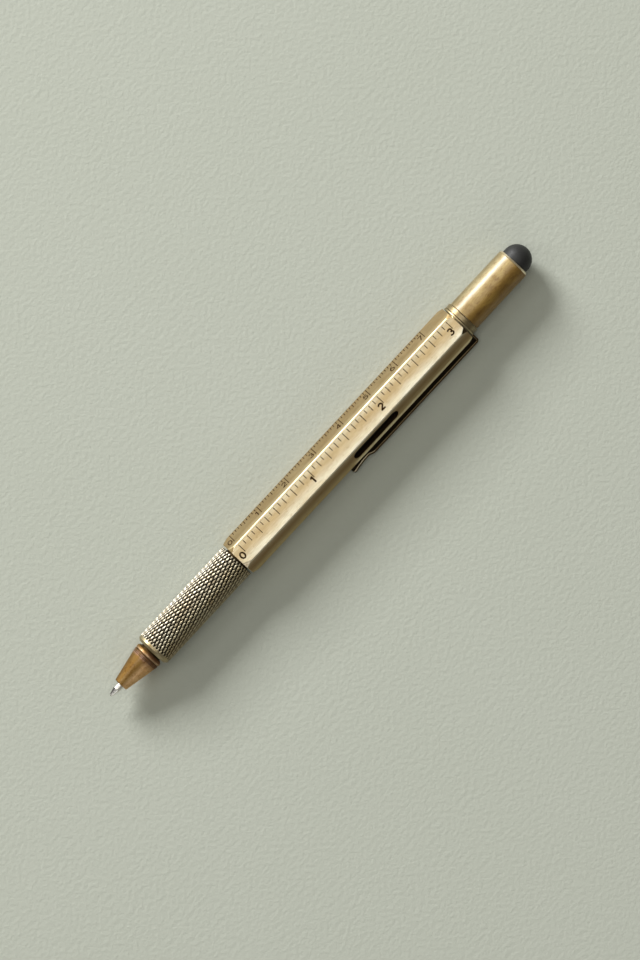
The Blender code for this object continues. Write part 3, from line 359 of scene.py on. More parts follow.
def ramp(tree, axis, *reach):
    """Ramp over the object at rest, along X, Y or Z, or R away from the pen's axis."""
    place = tree.nodes.new("ShaderNodeTexCoord").outputs["Object"]
    if axis == "R":
        spoke = tree.nodes.new("ShaderNodeVectorMath")
        spoke.operation = 'MULTIPLY_ADD'
        spoke.inputs[1].default_value = (0, 1, 1)
        spoke.inputs[2].default_value = (0, 0, -AXIS_HEIGHT)
        length = tree.nodes.new("ShaderNodeVectorMath")
        length.operation = 'LENGTH'
        tree.links.new(place, spoke.inputs[0])
        tree.links.new(spoke.outputs["Vector"], length.inputs[0])
        return levels(tree, length.outputs["Value"], *reach)
    split = tree.nodes.new("ShaderNodeSeparateXYZ")
    tree.links.new(place, split.inputs["Vector"])
    return levels(tree, split.outputs[axis], *reach)


def product(tree, *values):
    """Multiply values."""
    total = values[0]
    for value in values[1:]:
        node = tree.nodes.new("ShaderNodeMath")
        node.operation = 'MULTIPLY'
        tree.links.new(total, node.inputs[0])
        tree.links.new(value, node.inputs[1])
        total = node.outputs["Value"]
    return total


def blend_colours(tree, share, first, second, blend='MIX'):
    """Lay the second colour over the first by a share. Each is a value or a socket."""
    node = tree.nodes.new("ShaderNodeMix")
    node.data_type = 'RGBA'
    node.blend_type = blend
    tree.links.new(share, node.inputs["Factor"])
    sockets = {entry.name: entry for entry in node.inputs if entry.type == 'RGBA'}
    for name, colour in (("A", first), ("B", second)):
        if isinstance(colour, tuple):
            sockets[name].default_value = (*colour, 1)
        else:
            tree.links.new(colour, sockets[name])
    return next(entry for entry in node.outputs if entry.type == 'RGBA')


def relief(tree, shader, height, distance, strength=1.0):
    """Bump the surface by a height."""
    node = tree.nodes.new("ShaderNodeBump")
    set_values(node, Strength=strength, Distance=distance)
    tree.links.new(height, node.inputs["Height"])
    tree.links.new(node.outputs["Normal"], shader.inputs["Normal"])


def brass(name, colour, mottle=(0.78, 0.69, 0.56), stain=(0.6, 0.47, 0.33), roughness=(0.36, 0.48),
          stains=(0.56, 0.74), blotch=260, coat=0.25, gloss=0.18):
    """Antique metal with deeper blotches, stained spots and fine polishing streaks.

    The colour is a plain value, or a function that makes one vary over the object.
    """
    material, tree, shader = new_surface(name)
    if not isinstance(colour, tuple):
        colour = colour(tree)
    streak = grain(tree, 9000, 2, 0.5, (0.05, 1, 1))
    for share, tint in (
            (levels(tree, grain(tree, blotch, 5, 0.62, (0.45, 1, 1), 0.4), 0.36, 0.7), mottle),
            (levels(tree, grain(tree, 1400, 6, 0.7, (0.6, 1, 1)), *stains), stain),
            (levels(tree, streak, 0.35, 0.75), (0.80, 0.76, 0.69))):
        colour = blend_colours(tree, share, colour, tint, 'MULTIPLY')
    tree.links.new(colour, shader.inputs["Base Color"])
    rough = levels(tree, grain(tree, 700, 4, 0.6, (0.4, 1, 1)), 0.3, 0.7, *roughness)
    tree.links.new(rough, shader.inputs["Roughness"])
    set_values(shader, Metallic=1, Coat_Weight=coat, Coat_Roughness=gloss, Coat_IOR=1.7)
    relief(tree, shader, streak, 0.000004)
    return material


def fade(tree, axis, reach, first, second):
    """Colour that turns from the first to the second along an axis of the object."""
    return blend_colours(tree, ramp(tree, axis, *reach), first, second)


def barrel_tint(tree):
    """Painted shade deep on the clip's side, warmer on the other; the ruler face painted paler,
    with a painted sheen, and its rims pale with wear and painted highlight.
    """
    # Painted shade: the barrel darker towards the clip's side and lighter on the other, as light
    # falls on it.
    colour = fade(tree, "Y", BARREL_SIDES, (0.31, 0.195, 0.075), (0.455, 0.345, 0.185))
    # Painted reflection: the faces on the clip's side turn paler out towards the barrel's widest
    # corner.
    colour = fade(tree, "Y", WINDOW_SHEEN, colour, (0.56, 0.44, 0.22))
    # Painted highlight: a pale line along the barrel's widest corner beside the clip, starting just
    # behind the clip's tip.
    clip_side_glint = product(tree, ramp(tree, "Y", *CLIP_GLINT_REACH), ramp(tree, "X", *CLIP_GLINT_START))
    colour = blend_colours(tree, clip_side_glint, colour, (0.95, 0.86, 0.60))
    # The ruler face is painted paler than the sides, as light falls on it, with a cloudy painted
    # sheen that grows towards the clip's side.
    cloud = levels(tree, grain(tree, 150, 4, 0.55, (0.35, 1, 1)), 0.36, 0.62, 0.55, 1.0)
    sheen = product(tree, ramp(tree, "Y", *RULER_SHEEN), cloud)
    ruler = blend_colours(tree, sheen, (0.70, 0.555, 0.325), (1.0, 0.96, 0.8))
    colour = fade(tree, "Z", RULER_TOP, colour, ruler)
    # Painted highlight: pale bands on the faces near the ruler face's corners, weaker on the clip's
    # side, widening the corner highlights.
    highlight_band = product(tree, ramp(tree, "R", *HIGHLIGHT_REACH), ramp(tree, "Z", *HIGHLIGHT_HEIGHT),
                    ramp(tree, "Y", *HIGHLIGHT_LIMIT))
    paler = fade(tree, "Y", HIGHLIGHT_SIDES, (1.0, 0.95, 0.77), (0.88, 0.8, 0.6))
    colour = blend_colours(tree, highlight_band, colour, fade(tree, "Y", HIGHLIGHT_END, paler, (0.7, 0.6, 0.38)))
    # Rims of the ruler face: pale, partly edge wear and partly painted highlight, palest on the
    # clip's side.
    corners = product(tree, ramp(tree, "R", *RIM_REACH), ramp(tree, "Z", *RIM_HEIGHT),
                      ramp(tree, "X", *RIM_FRONT), ramp(tree, "X", *RIM_BACK))
    rim = fade(tree, "Y", RIM_SIDES, (1.0, 0.95, 0.78), (0.76, 0.67, 0.46))
    return blend_colours(tree, corners, colour, rim)


def knurl_tint(tree):
    """Dark patina in the grooves and bright worn crests, with painted shade on the clip's side and
    a painted highlight on the far side's crests.
    """
    # Painted shade: grooves and crests darker towards the clip's side; painted highlight: crests
    # paler high on the far side.
    grooves = fade(tree, "Y", KNURL_SHADE_SIDES, (0.03, 0.022, 0.011), (0.05, 0.038, 0.022))
    crests = fade(tree, "Y", KNURL_SHADE_SIDES, (0.48, 0.435, 0.295), (0.67, 0.64, 0.53))
    crests = fade(tree, "Y", KNURL_HIGHLIGHT, crests, (0.86, 0.83, 0.73))
    return fade(tree, "R", KNURL_WORN, grooves, crests)


def cap_tint(tree):
    """Yellow brass, painted paler and whiter on the far side where the highlight falls, and painted
    deeper and darker on the clip's side as shade.
    """
    # Painted highlight: paler, whiter brass on the far side; painted shade: deeper, then darker
    # brass on the clip's side.
    side = fade(tree, "Y", CAP_LIGHT_SIDES, (0.68, 0.445, 0.095), (0.48, 0.415, 0.24))
    return fade(tree, "Y", CAP_SHADE, side, (0.38, 0.23, 0.045))


def collar_tint(tree):
    """Pale brass, painted deeper on the clip's side as shade."""
    return fade(tree, "Y", RIM_SIDES, (0.27, 0.21, 0.10), (0.48, 0.39, 0.22))


def nose_tint(tree):
    """Copper brown, with a painted highlight along the clip's side, a rosy painted highlight and
    then painted shade towards the back.
    """
    # Painted highlight: a rosy, cloudy band round the back of the cone.
    rosy_glint = product(tree, ramp(tree, "X", *NOSE_GLINT_START), ramp(tree, "X", *NOSE_GLINT_END),
                   levels(tree, grain(tree, 500, 3, 0.5), 0.36, 0.55))
    colour = blend_colours(tree, rosy_glint, (0.34, 0.21, 0.068), (0.56, 0.37, 0.28))
    # Painted highlight: paler along the clip's side.
    colour = fade(tree, "Y", NOSE_SIDE_GLINT, colour, (0.88, 0.60, 0.31))
    # Painted shade: dark on the clip's side towards the back.
    shade_dark = product(tree, ramp(tree, "X", *NOSE_SHADE_START), ramp(tree, "Y", *NOSE_SHADE_SIDE))
    return blend_colours(tree, shade_dark, colour, (0.29, 0.155, 0.08))


def point_tint(tree):
    """Bright steel, with painted shade on the side of the tip's cone away from the clip."""
    # Painted shade: the far side of the tip's cone near-black.
    shade_dark = product(tree, ramp(tree, "Y", *POINT_SHADE_SIDE), ramp(tree, "X", *POINT_SHADE_END))
    return blend_colours(tree, shade_dark, (0.97, 0.96, 0.93), (0.16, 0.15, 0.15))


def plain(name, colour, shade_colour, roughness, pattern=(1800, 5, 0.65), depth=(0.3, 0.7),
          stretch=(1, 1, 1), bump=0.000006, **values):
    """Surface of one colour, deeper in the marks of its skin."""
    material, tree, shader = new_surface(name)
    marks = grain(tree, *pattern, stretch)
    tree.links.new(blend_colours(tree, levels(tree, marks, *depth), colour, shade_colour),
                   shader.inputs["Base Color"])
    tree.links.new(levels(tree, marks, 0.3, 0.7, *roughness), shader.inputs["Roughness"])
    set_values(shader, **values)
    if bump:
        relief(tree, shader, marks, bump)
    return material


def metal(name, colour, shade_colour, roughness):
    """Plain turned metal with faint marks round it."""
    return plain(name, colour, shade_colour, roughness, (2500, 4, 0.6), (0.35, 0.75),
                 (1, 0.35, 0.35), 0.000002, Metallic=1)


def moulded(name, colour, shade_colour, roughness, gloss=0.5):
    """Moulded plastic or rubber with a fine skin."""
    return plain(name, colour, shade_colour, roughness, Specular_IOR_Level=gloss)


def clear(name, colour, shade_colour, roughness, ior):
    """Clear plastic or liquid with faint clouding."""
    return plain(name, colour, shade_colour, roughness, (900, 3, 0.5), bump=0,
                 Transmission_Weight=1, IOR=ior)


BARREL_BRASS = brass("barrel_brass", barrel_tint, (0.87, 0.8, 0.69), (0.74, 0.64, 0.5),
                     (0.42, 0.54), (0.57, 0.77), coat=0.28, gloss=0.3)
# Pale brass for edges and rims: partly wear, partly painted highlight.
WORN_GLINT_BRASS = brass("worn_glint_brass", (0.97, 0.88, 0.68), roughness=(0.42, 0.54))
# Very pale polished brass: a painted highlight on the front end facets on the clip's side.
FACET_GLINT_BRASS = brass("facet_glint_brass", (1.0, 0.94, 0.78), roughness=(0.3, 0.4))
SHADED_BRASS = brass("shaded_brass", (0.40, 0.31, 0.16), roughness=(0.42, 0.54))
CAP_BRASS = brass("cap_brass", cap_tint, mottle=(0.6, 0.5, 0.36), roughness=(0.6, 0.72),
                  stains=(0.52, 0.72), blotch=330, coat=0.7, gloss=0.34)
COLLAR_BRASS = brass("collar_brass", collar_tint, coat=0.6, gloss=0.3)
KNURL_BRASS = brass("knurl_brass", knurl_tint, roughness=(0.4, 0.52), coat=0.1)
NOSE_BRASS = brass("nose_brass", nose_tint, roughness=(0.52, 0.64), stains=(0.5, 0.7), blotch=420,
                   coat=0.12)
# Paler brass: a painted highlight band along the front of the nose's bead.
BEAD_GLINT_BRASS = brass("bead_glint_brass", (0.52, 0.355, 0.21), roughness=(0.44, 0.56))
# Near-black brass: painted shade over the clip and the barrel's back facets.
DEEP_SHADE_BRASS = brass("deep_shade_brass", (0.12, 0.082, 0.04))
# Dark brass: painted shade on the clip's rounded upper edge.
EDGE_SHADE_BRASS = brass("edge_shade_brass", (0.24, 0.18, 0.095))
GRIP_BRASS = brass("grip_brass", (0.50, 0.43, 0.27), roughness=(0.4, 0.52))
# Near-black brass: painted shade in the window slot, the nose's turned lines, groove and neck, and
# the drive tube in the gap behind the grip.
SHADOW_BRASS = brass("shadow_brass", (0.06, 0.04, 0.018), roughness=(0.5, 0.6), coat=0.0)
POINT_STEEL = brass("point_steel", point_tint, (0.9, 0.9, 0.9), (0.8, 0.8, 0.8), (0.3, 0.42),
                    coat=0.0)
STEEL = metal("bright_steel", (0.86, 0.84, 0.78), (0.7, 0.68, 0.63), (0.1, 0.2))
DARK_STEEL = metal("dark_steel", (0.24, 0.24, 0.25), (0.15, 0.15, 0.155), (0.3, 0.45))
REFILL_METAL = metal("refill_metal", (0.5, 0.5, 0.51), (0.38, 0.38, 0.39), (0.35, 0.5))
ENGRAVED = moulded("engraved_patina", (0.045, 0.022, 0.007), (0.025, 0.011, 0.003), (0.6, 0.8),
                   0.05)
RUBBER = moulded("stylus_rubber", (0.026, 0.026, 0.026), (0.019, 0.019, 0.018), (0.5, 0.62), 0.42)
BLACK_PLASTIC = moulded("black_plastic", (0.018, 0.018, 0.018), (0.010, 0.010, 0.011), (0.4, 0.55))
WHITE_PLASTIC = moulded("white_plastic", (0.72, 0.71, 0.67), (0.62, 0.61, 0.57), (0.35, 0.5))
CLEAR_PLASTIC = clear("clear_plastic", (0.92, 0.97, 0.93), (0.86, 0.93, 0.88), (0.02, 0.06), 1.49)
LIQUID = clear("level_liquid", (0.30, 0.62, 0.10), (0.25, 0.55, 0.08), (0.0, 0.02), 1.36)


def shade(mesh):
    """Shade smooth, with real edges kept sharp."""
    mesh.shade_smooth()
    mesh.set_sharp_from_angle(angle=math.radians(SHARP_DEGREES))


def linked(name, data):
    """New object in the scene."""
    thing = bpy.data.objects.new(name, data)
    bpy.context.scene.collection.objects.link(thing)
    return thing


def add_materials(mesh, *materials):
    """Give a mesh more materials."""
    for material in materials:
        mesh.materials.append(material)


def new_piece(name, mesh, *materials):
    """Make a finished mesh one piece, with new materials or its own."""
    if materials:
        mesh.materials.clear()
    add_materials(mesh, *materials)
    piece = linked(name, mesh)
    shade(mesh)
    return piece


def dress(piece, body, node):
    """Put a piece on its body in place of its node."""
    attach(piece, body)
    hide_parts(node)


def finished(name, shape):
    """Mesh of a working shape, which is then freed."""
    mesh = bpy.data.meshes.new(name)
    shape.to_mesh(mesh)
    shape.free()
    return mesh


def cut(mesh, *cutters, operation='DIFFERENCE'):
    """Cut a mesh with others, which leave their material in the cut."""
    source = linked("blank", mesh)
    tools = [linked("tool", cutter) for cutter in cutters]
    for tool in tools:
        boolean = source.modifiers.new("cut", 'BOOLEAN')
        boolean.operation = operation
        boolean.solver = 'EXACT'
        boolean.material_mode = 'TRANSFER'
        boolean.object = tool
    depsgraph = bpy.context.evaluated_depsgraph_get()
    result = bpy.data.meshes.new_from_object(source.evaluated_get(depsgraph))
    for used in (source, *tools):
        bpy.data.objects.remove(used, do_unlink=True)
    return result


def outward(degrees):
    """Direction out of the pen at a place round it."""
    angle = math.radians(degrees)
    return Vector((0, math.sin(angle), -math.cos(angle)))


def face_frame(degrees, station=0, height=0):
    """Frame on a face: X along the pen, Y across it, Z out of it."""
    along = Vector((1, 0, 0))
    out = outward(degrees)
    place = Matrix((along, out.cross(along), out)).transposed().to_4x4()
    place.translation = along * station + out * height + Vector((0, 0, AXIS_HEIGHT))
    return place


def skin(name, rings, turns, closed=False, split=None):
    """Mesh over rings of (station, radius) at the given turns, in radians.

    A radius is a number, or a list with one for each turn. Open rings start and end on the axis.
    A split function picks the diagonal of each face.
    """
    verts = []
    rows = []
    count = len(turns)
    for station, radius in rings:
        if radius == 0:
            rows.append([len(verts)] * count)
            verts.append((station, 0, AXIS_HEIGHT))
            continue
        radii = radius if isinstance(radius, list) else [radius] * count
        rows.append(list(range(len(verts), len(verts) + count)))
        verts += [(station, reach * math.sin(turn), AXIS_HEIGHT - reach * math.cos(turn))
                  for reach, turn in zip(radii, turns)]
    faces = []
    for index in range(len(rows) if closed else len(rows) - 1):
        near = rows[index]
        far = rows[(index + 1) % len(rows)]
        for column in range(count):
            after = (column + 1) % count
            loop = [near[column], near[after], far[after], far[column]]
            if split is None or len(set(loop)) < 4:
                faces.append(tuple(dict.fromkeys(loop)))
            elif split(index, column):
                faces += [tuple(loop[:3]), (loop[0], loop[2], loop[3])]
            else:
                faces += [(loop[0], loop[1], loop[3]), tuple(loop[1:])]
    mesh = bpy.data.meshes.new(name)
    mesh.from_pydata(verts, [], faces)
    shape = bmesh.new()
    shape.from_mesh(mesh)
    bmesh.ops.remove_doubles(shape, verts=shape.verts, dist=WELD)
    bmesh.ops.recalc_face_normals(shape, faces=shape.faces)
    shape.to_mesh(mesh)
    shape.free()
    return mesh


def even_turns(count):
    """Turns spaced evenly round the pen."""
    return [math.tau * index / count for index in range(count)]


def rounded(corners, closed=True):
    """Outline through (station, radius) or (station, radius, fillet), its corners rounded.

    Each arc has a point just before and after it, so that flat stretches keep a flat shade.
    """
    points = []
    last = len(corners) - 1
    for index, (station, radius, *fillet) in enumerate(corners):
        here = Vector((station, radius))
        if not fillet or not closed and index in (0, last):
            points.append((station, radius))
            continue
        before = (Vector(corners[index - 1][:2]) - here).normalized()
        after = (Vector(corners[(index + 1) % len(corners)][:2]) - here).normalized()
        half = before.angle(after) / 2
        setback = fillet[0] / math.tan(half)
        centre = here + (before + after).normalized() * fillet[0] / math.sin(half)
        start = here + before * setback - centre
        end = here + after * setback - centre
        sweep = start.angle(end)
        points.append(tuple(here + before * (setback + SUPPORT)))
        for step in range(FILLET_STEPS + 1):
            share = step / FILLET_STEPS
            spoke = (start * math.sin((1 - share) * sweep) + end * math.sin(share * sweep))
            points.append(tuple(centre + spoke / math.sin(sweep)))
        points.append(tuple(here + after * (setback + SUPPORT)))
    return points


def turned(name, corners, closed=True, columns=TURN_COLUMNS):
    """Mesh turned about the pen's axis from an outline with rounded corners."""
    return skin(name, rounded(corners, closed), even_turns(columns), closed)


def hexagon_section():
    """Turns and radii of the barrel's section, with its corners rounded."""
    half = math.pi / SIDES
    radii = [CORNER_RADIUS] * SIDES
    radii[RULER_FACE * SIDES // 360] = CRISP_RADIUS
    flats = [(FACE_HEIGHT - radius) * math.tan(half) for radius in radii]
    section = []
    for number, (radius, flat) in enumerate(zip(radii, flats)):
        start = -flats[number - 1]
        side = [(FACE_HEIGHT, start + (flat - start) * step / FLAT_COLUMNS)
                for step in range(FLAT_COLUMNS + 1)]
        side.insert(1, (FACE_HEIGHT, start + SUPPORT))
        side.insert(-1, (FACE_HEIGHT, flat - SUPPORT))
        for step in range(1, CORNER_COLUMNS):
            angle = 2 * half * step / CORNER_COLUMNS
            side.append((FACE_HEIGHT - radius + radius * math.cos(angle),
                         flat + radius * math.sin(angle)))
        for out, across in side:
            section.append((math.tau * number / SIDES + math.atan2(across, out),
                            math.hypot(out, across)))
    return section


def barrel_mesh():
    """Hexagonal tube with a flat chamfer on each corner of its ends."""
    section = hexagon_section()
    turns = [turn for turn, radius in section]
    widest = max(radius for turn, radius in section)

    def trimmed(cone, inset=0.0):
        radii = []
        for turn, radius in section:
            limit = cone / math.cos(turn % (math.tau / SIDES) - math.pi / SIDES)
            overlap = max(CHAMFER_BLEND - abs(radius - limit), 0) / CHAMFER_BLEND
            radii.append(min(radius, limit) - overlap ** 2 * CHAMFER_BLEND / 4 - inset)
        return radii

    def end_rings(end, inwards, chamfer):
        length, depth = chamfer
        slope = depth / length
        rim = CORNER_REACH - depth
        rings = []
        for step in range(RIM_ROWS):
            angle = math.pi / 2 * step / RIM_ROWS
            rings.append((end + inwards * RIM_FILLET * (1 - math.sin(angle)),
                          trimmed(rim, RIM_FILLET * (1 - math.cos(angle)))))
        rings.reverse()
        reach = RIM_FILLET + CHAMFER_ROW
        while rim + slope * (reach - CHAMFER_ROW) < widest + CHAMFER_BLEND:
            rings.append((end + inwards * reach, trimmed(rim + slope * reach)))
            reach += CHAMFER_ROW
        return rings

    front = end_rings(BARREL_FRONT, 1, FRONT_CHAMFER)
    back = end_rings(BARREL_BACK, -1, BACK_CHAMFER)
    rim = 2 * RIM_FILLET
    bore = [(BARREL_BACK, BORE_RADIUS + rim), (BARREL_BACK - rim, BORE_RADIUS),
            (BARREL_FRONT + rim, BORE_RADIUS), (BARREL_FRONT, BORE_RADIUS + rim)]
    return skin("barrel", front + back[::-1] + bore, turns, closed=True)


def lofted(name, rings, closed=False):
    """Solid through rings of like points, with flat ends or closed on itself."""
    shape = bmesh.new()
    loops = [[shape.verts.new(point) for point in ring] for ring in rings]
    for near, far in zip(loops, loops[1:] + loops[:1] if closed else loops[1:]):
        for index in range(len(near)):
            after = (index + 1) % len(near)
            shape.faces.new((near[index], near[after], far[after], far[index]))
    if not closed:
        shape.faces.new(loops[0])
        shape.faces.new(loops[-1])
    bmesh.ops.recalc_face_normals(shape, faces=shape.faces)
    return finished(name, shape)


def stacked(name, layers, place):
    """Solid through a stack of like outlines, each with its height."""
    return lofted(name, [[place @ Vector((*point, height)) for point in outline]
                         for outline, height in layers])


def stadium(length, width):
    """Outline of a slot with round ends."""
    radius = width / 2
    reach = length / 2 - radius
    points = []
    for end in (1, -1):
        for step in range(WINDOW_STEPS + 1):
            angle = math.pi * (step / WINDOW_STEPS - 1 / 2)
            points.append((end * (reach + radius * math.cos(angle)),
                           end * radius * math.sin(angle)))
    return points


def window_cutters():
    """Slot through the window face, and the chamfer round its rim."""
    place = face_frame(WINDOW_FACE, WINDOW_MIDDLE, FACE_HEIGHT)

    def layer(height, spread):
        return stadium(WINDOW_LENGTH + 2 * spread, WINDOW_WIDTH + 2 * spread), height

    slot = stacked("slot", [layer(-SEATED_RADIUS / 2, 0), layer(ENGRAVING_RISE, 0)], place)
    overlap = WINDOW_CHAMFER / 4
    flare = stacked("flare", [layer(-WINDOW_CHAMFER - overlap, -overlap),
                              layer(overlap, WINDOW_CHAMFER + overlap)], place)
    # The slot's walls are near-black brass: painted shade in the recess.
    slot.materials.append(SHADOW_BRASS)
    flare.materials.append(BARREL_BRASS)
    return slot, flare


def bow(centre, radii, start, end):
    """Points along part of an ellipse, in a numeral's own unit square."""
    points = []
    for step in range(DIGIT_STEPS + 1):
        angle = math.radians(start + (end - start) * step / DIGIT_STEPS)
        points.append((centre[0] + radii[0] * math.cos(angle),
                       centre[1] + radii[1] * math.sin(angle)))
    return points


# Strokes of each numeral in its unit square; a ring ends where it starts
DIGITS = (
    [bow((0, 0), (0.28, 0.43), 0, 360)],
    [[(-0.2, 0.24), (0.06, 0.45)], [(0.06, 0.5), (0.06, -0.5)]],
    [bow((0, 0.18), (0.26, 0.25), 172, -36), [(0.24, 0.06), (-0.29, -0.45)],
     [(-0.32, -0.43), (0.31, -0.43)]],
    [bow((-0.01, 0.21), (0.24, 0.22), 155, -92), bow((-0.01, -0.2), (0.28, 0.23), 92, -155)],
    [[(0.12, 0.5), (0.12, -0.5)], [(0.13, 0.46), (-0.31, -0.2)], [(-0.34, -0.2), (0.33, -0.2)]],
    [[(0.27, 0.43), (-0.2, 0.43)], [(-0.19, 0.46), (-0.24, -0.03)],
     bow((-0.01, -0.15), (0.27, 0.28), 145, -152)],
    [bow((0, -0.16), (0.27, 0.27), 0, 360), bow((0.22, -0.16), (0.49, 0.6), 178, 97)],
    [[(-0.31, 0.43), (0.32, 0.43)], [(0.28, 0.46), (-0.1, -0.5)]])


def stroke_mesh(points, weight, size):
    """Bar of one weight along a numeral's stroke, in its unit square."""
    weight /= size
    ring = math.dist(points[0], points[-1]) < weight / DIGIT_STEPS
    if ring:
        points = points[:-1]
    low, high = -ENGRAVING_DEPTH / size, ENGRAVING_RISE / size
    sections = []
    for index, point in enumerate(points):
        before = Vector(points[index - 1] if ring or index else point)
        after = Vector(points[(index + 1) % len(points)] if ring or index + 1 < len(points)
                       else point)
        across = (after - before).orthogonal().normalized() * weight / 2
        left, right = Vector(point) + across, Vector(point) - across
        sections.append([(*left, low), (*right, low), (*right, high), (*left, high)])
    return lofted("stroke", sections, closed=ring)


def digit_mesh(digit, centre, style, place):
    """Numeral standing through a face, centred on a point of it."""
    size = style["height"]
    strokes = [stroke_mesh(points, style["weight"], size) for points in DIGITS[digit]]
    mesh = strokes[0] if len(strokes) == 1 else cut(*strokes, operation='UNION')
    mesh.transform(place @ Matrix.Translation((*centre, 0))
                   @ Matrix.Diagonal((size * style["stretch"], size, size, 1)))
    return mesh


def tick_mesh(station, start, length, place):
    """Bar standing through a face, from its start inwards."""
    depth = ENGRAVING_DEPTH + ENGRAVING_RISE
    middle = Matrix.Translation((station, start - length / 2, depth / 2 - ENGRAVING_DEPTH))
    shape = bmesh.new()
    bmesh.ops.create_cube(shape, size=1,
                          matrix=place @ middle @ Matrix.Diagonal((TICK_WIDTH, length, depth, 1)))
    return finished("tick", shape)


def scale_meshes(degrees, step, count, numbered, style):
    """Ticks and numerals of one scale."""
    place = face_frame(degrees, 0, FACE_HEIGHT)
    meshes = []
    for index in range(count + 1):
        station = BARREL_FRONT + SCALE_INSET + index * step
        length = next(length for every, length in style["ticks"] if index % every == 0)
        meshes.append(tick_mesh(station, style["start"], length, place))
        if index % numbered == 0:
            digit = index // numbered
            centre = (station - style["offsets"][digit], style["drop"])
            meshes.append(digit_mesh(digit, centre, style, place))
    return meshes


def engraving_mesh():
    """Marks of both scales in one mesh."""
    shape = bmesh.new()
    for scale in ((RULER_FACE, INCH / SIXTEENTHS, INCHES * SIXTEENTHS, SIXTEENTHS, INCH_STYLE),
                  (METRIC_FACE, MILLIMETRE, CENTIMETRES * MILLIMETRES, MILLIMETRES, METRIC_STYLE)):
        for mark in scale_meshes(*scale):
            shape.from_mesh(mark)
    engraving = finished("engraving", shape)
    engraving.materials.append(ENGRAVED)
    return engraving


def paint_end_light(mesh):
    """Paint light and shade on the facets at the barrel's ends, by the way they face."""
    worn_glint, shade_dark, facet_glint, shaded = range(len(mesh.materials), len(mesh.materials) + 4)
    add_materials(mesh, WORN_GLINT_BRASS, DEEP_SHADE_BRASS, FACET_GLINT_BRASS, SHADED_BRASS)
    for face in mesh.polygons:
        at, out = face.center, face.normal
        above = at.z > AXIS_HEIGHT
        full = out.x < -FACET_LEAN
        on_front = (at.x < BARREL_FRONT + FRONT_CHAMFER[0] + CHAMFER_BLEND
                    and out.x < -(CHAMFER_LEAN if at.y < 0 else FACET_BLEND))
        # Front facets: a painted highlight on the clip's side; on the far side, painted shade on
        # the cone and a painted highlight along its edge.
        if on_front and above and at.y < 0:
            face.material_index = facet_glint
        elif on_front and above and at.y > FACET_SIDE and (full or out.z > FACET_RISE):
            face.material_index = shaded if full else worn_glint
        # Back facets: painted shade, lighter high on the far side.
        if at.x > BARREL_BACK - BACK_CHAMFER[0] - CHAMFER_BLEND and out.x > CHAMFER_LEAN:
            face.material_index = shaded if above and at.y > 0 else shade_dark


def make_barrel():
    """Engraved hexagonal barrel with its window."""
    blank = barrel_mesh()
    blank.materials.append(BARREL_BRASS)
    mesh = cut(blank, *window_cutters(), engraving_mesh())
    paint_end_light(mesh)
    dress(new_piece("engraved_barrel", mesh), "barrel", "barrel")


def make_grip():
    """Knurled grip: crossed grooves leave flat-topped diamonds between plain ends."""
    rows = round((KNURL_BACK - KNURL_FRONT) / KNURL_PITCH) * KNURL_STEPS
    columns = 2 * KNURL_DIAMONDS * KNURL_STEPS
    turns = even_turns(columns)
    length = KNURL_BACK - KNURL_FRONT
    valley = GRIP_RADIUS - KNURL_DEPTH
    leans = [max(-1, min(1, (LEAN_EDGE - GRIP_RADIUS * math.sin(turn)) / LEAN_REACH))
             for turn in turns]

    def crest(row, column):
        around = column / (2 * KNURL_STEPS)
        along = row / (2 * KNURL_STEPS)
        ridges = [1 - 2 * abs(phase - round(phase)) for phase in (around + along, around - along)]
        lean = leans[column]
        heights = []
        for ridge, way in zip(ridges, (lean, -lean)):
            drop = max(0, 1 - ridge / (KNURL_FLANK + KNURL_LEAN * way)) ** KNURL_SWELL
            heights.append(1 - drop * (1 + KNURL_SHALLOW * min(way, 0)))
        station = length * row / rows
        front = station / KNURL_FRONT_RUN
        back = (length - station) / KNURL_BACK_RUN
        return valley + KNURL_DEPTH * min(*heights, max(min(front, back), KNURL_END_SHARE))

    knurl = [(KNURL_FRONT + length * row / rows, [crest(row, column) for column in range(columns)])
             for row in range(rows + 1)]
    spigot = SPIGOT_RADIUS + FIT
    tube = TUBE_RADIUS + FIT
    collar = GRIP_RADIUS - COLLAR_INSET
    ends = rounded([(GRIP_BACK, valley), (GRIP_BACK, tube), (TUBE_FRONT, tube),
                    (TUBE_FRONT, spigot), (GRIP_FRONT, spigot),
                    (GRIP_FRONT, collar - COLLAR_EDGE[1]),
                    (GRIP_FRONT + COLLAR_EDGE[0], collar, COLLAR_FILLET),
                    (COLLAR_BACK, collar, COLLAR_FILLET),
                    (KNURL_FRONT - GRIP_GROOVE / 2, valley + KNURL_DEPTH * KNURL_END_SHARE)],
                   closed=False)

    def split(row, column):
        return (row // KNURL_STEPS + column // KNURL_STEPS) % 2 == 0

    mesh = skin("grip", knurl + ends, turns, closed=True, split=split)
    grip = new_piece("knurled_grip", mesh, KNURL_BRASS, GRIP_BRASS)
    for face in mesh.polygons:
        if face.center.x < COLLAR_BACK + GRIP_GROOVE:
            face.material_index = 1
    dress(grip, "twister", "grip_sleeve")


def thread_rings(front, back, radius):
    """Rings of an outside thread that dies out at its ends."""
    turns = even_turns(THREAD_COLUMNS)
    rows = round((back - front) / THREAD_PITCH * THREAD_ROWS)
    rings = []
    for row in range(rows + 1):
        station = front + (back - front) * row / rows
        depth = THREAD_DEPTH * min(1, min(row, rows - row) / THREAD_ROWS)
        radii = []
        for turn in turns:
            phase = (station - front) / THREAD_PITCH - turn / math.tau
            radii.append(radius - depth * 2 * abs(phase - round(phase)))
        rings.append((station, radii))
    return rings


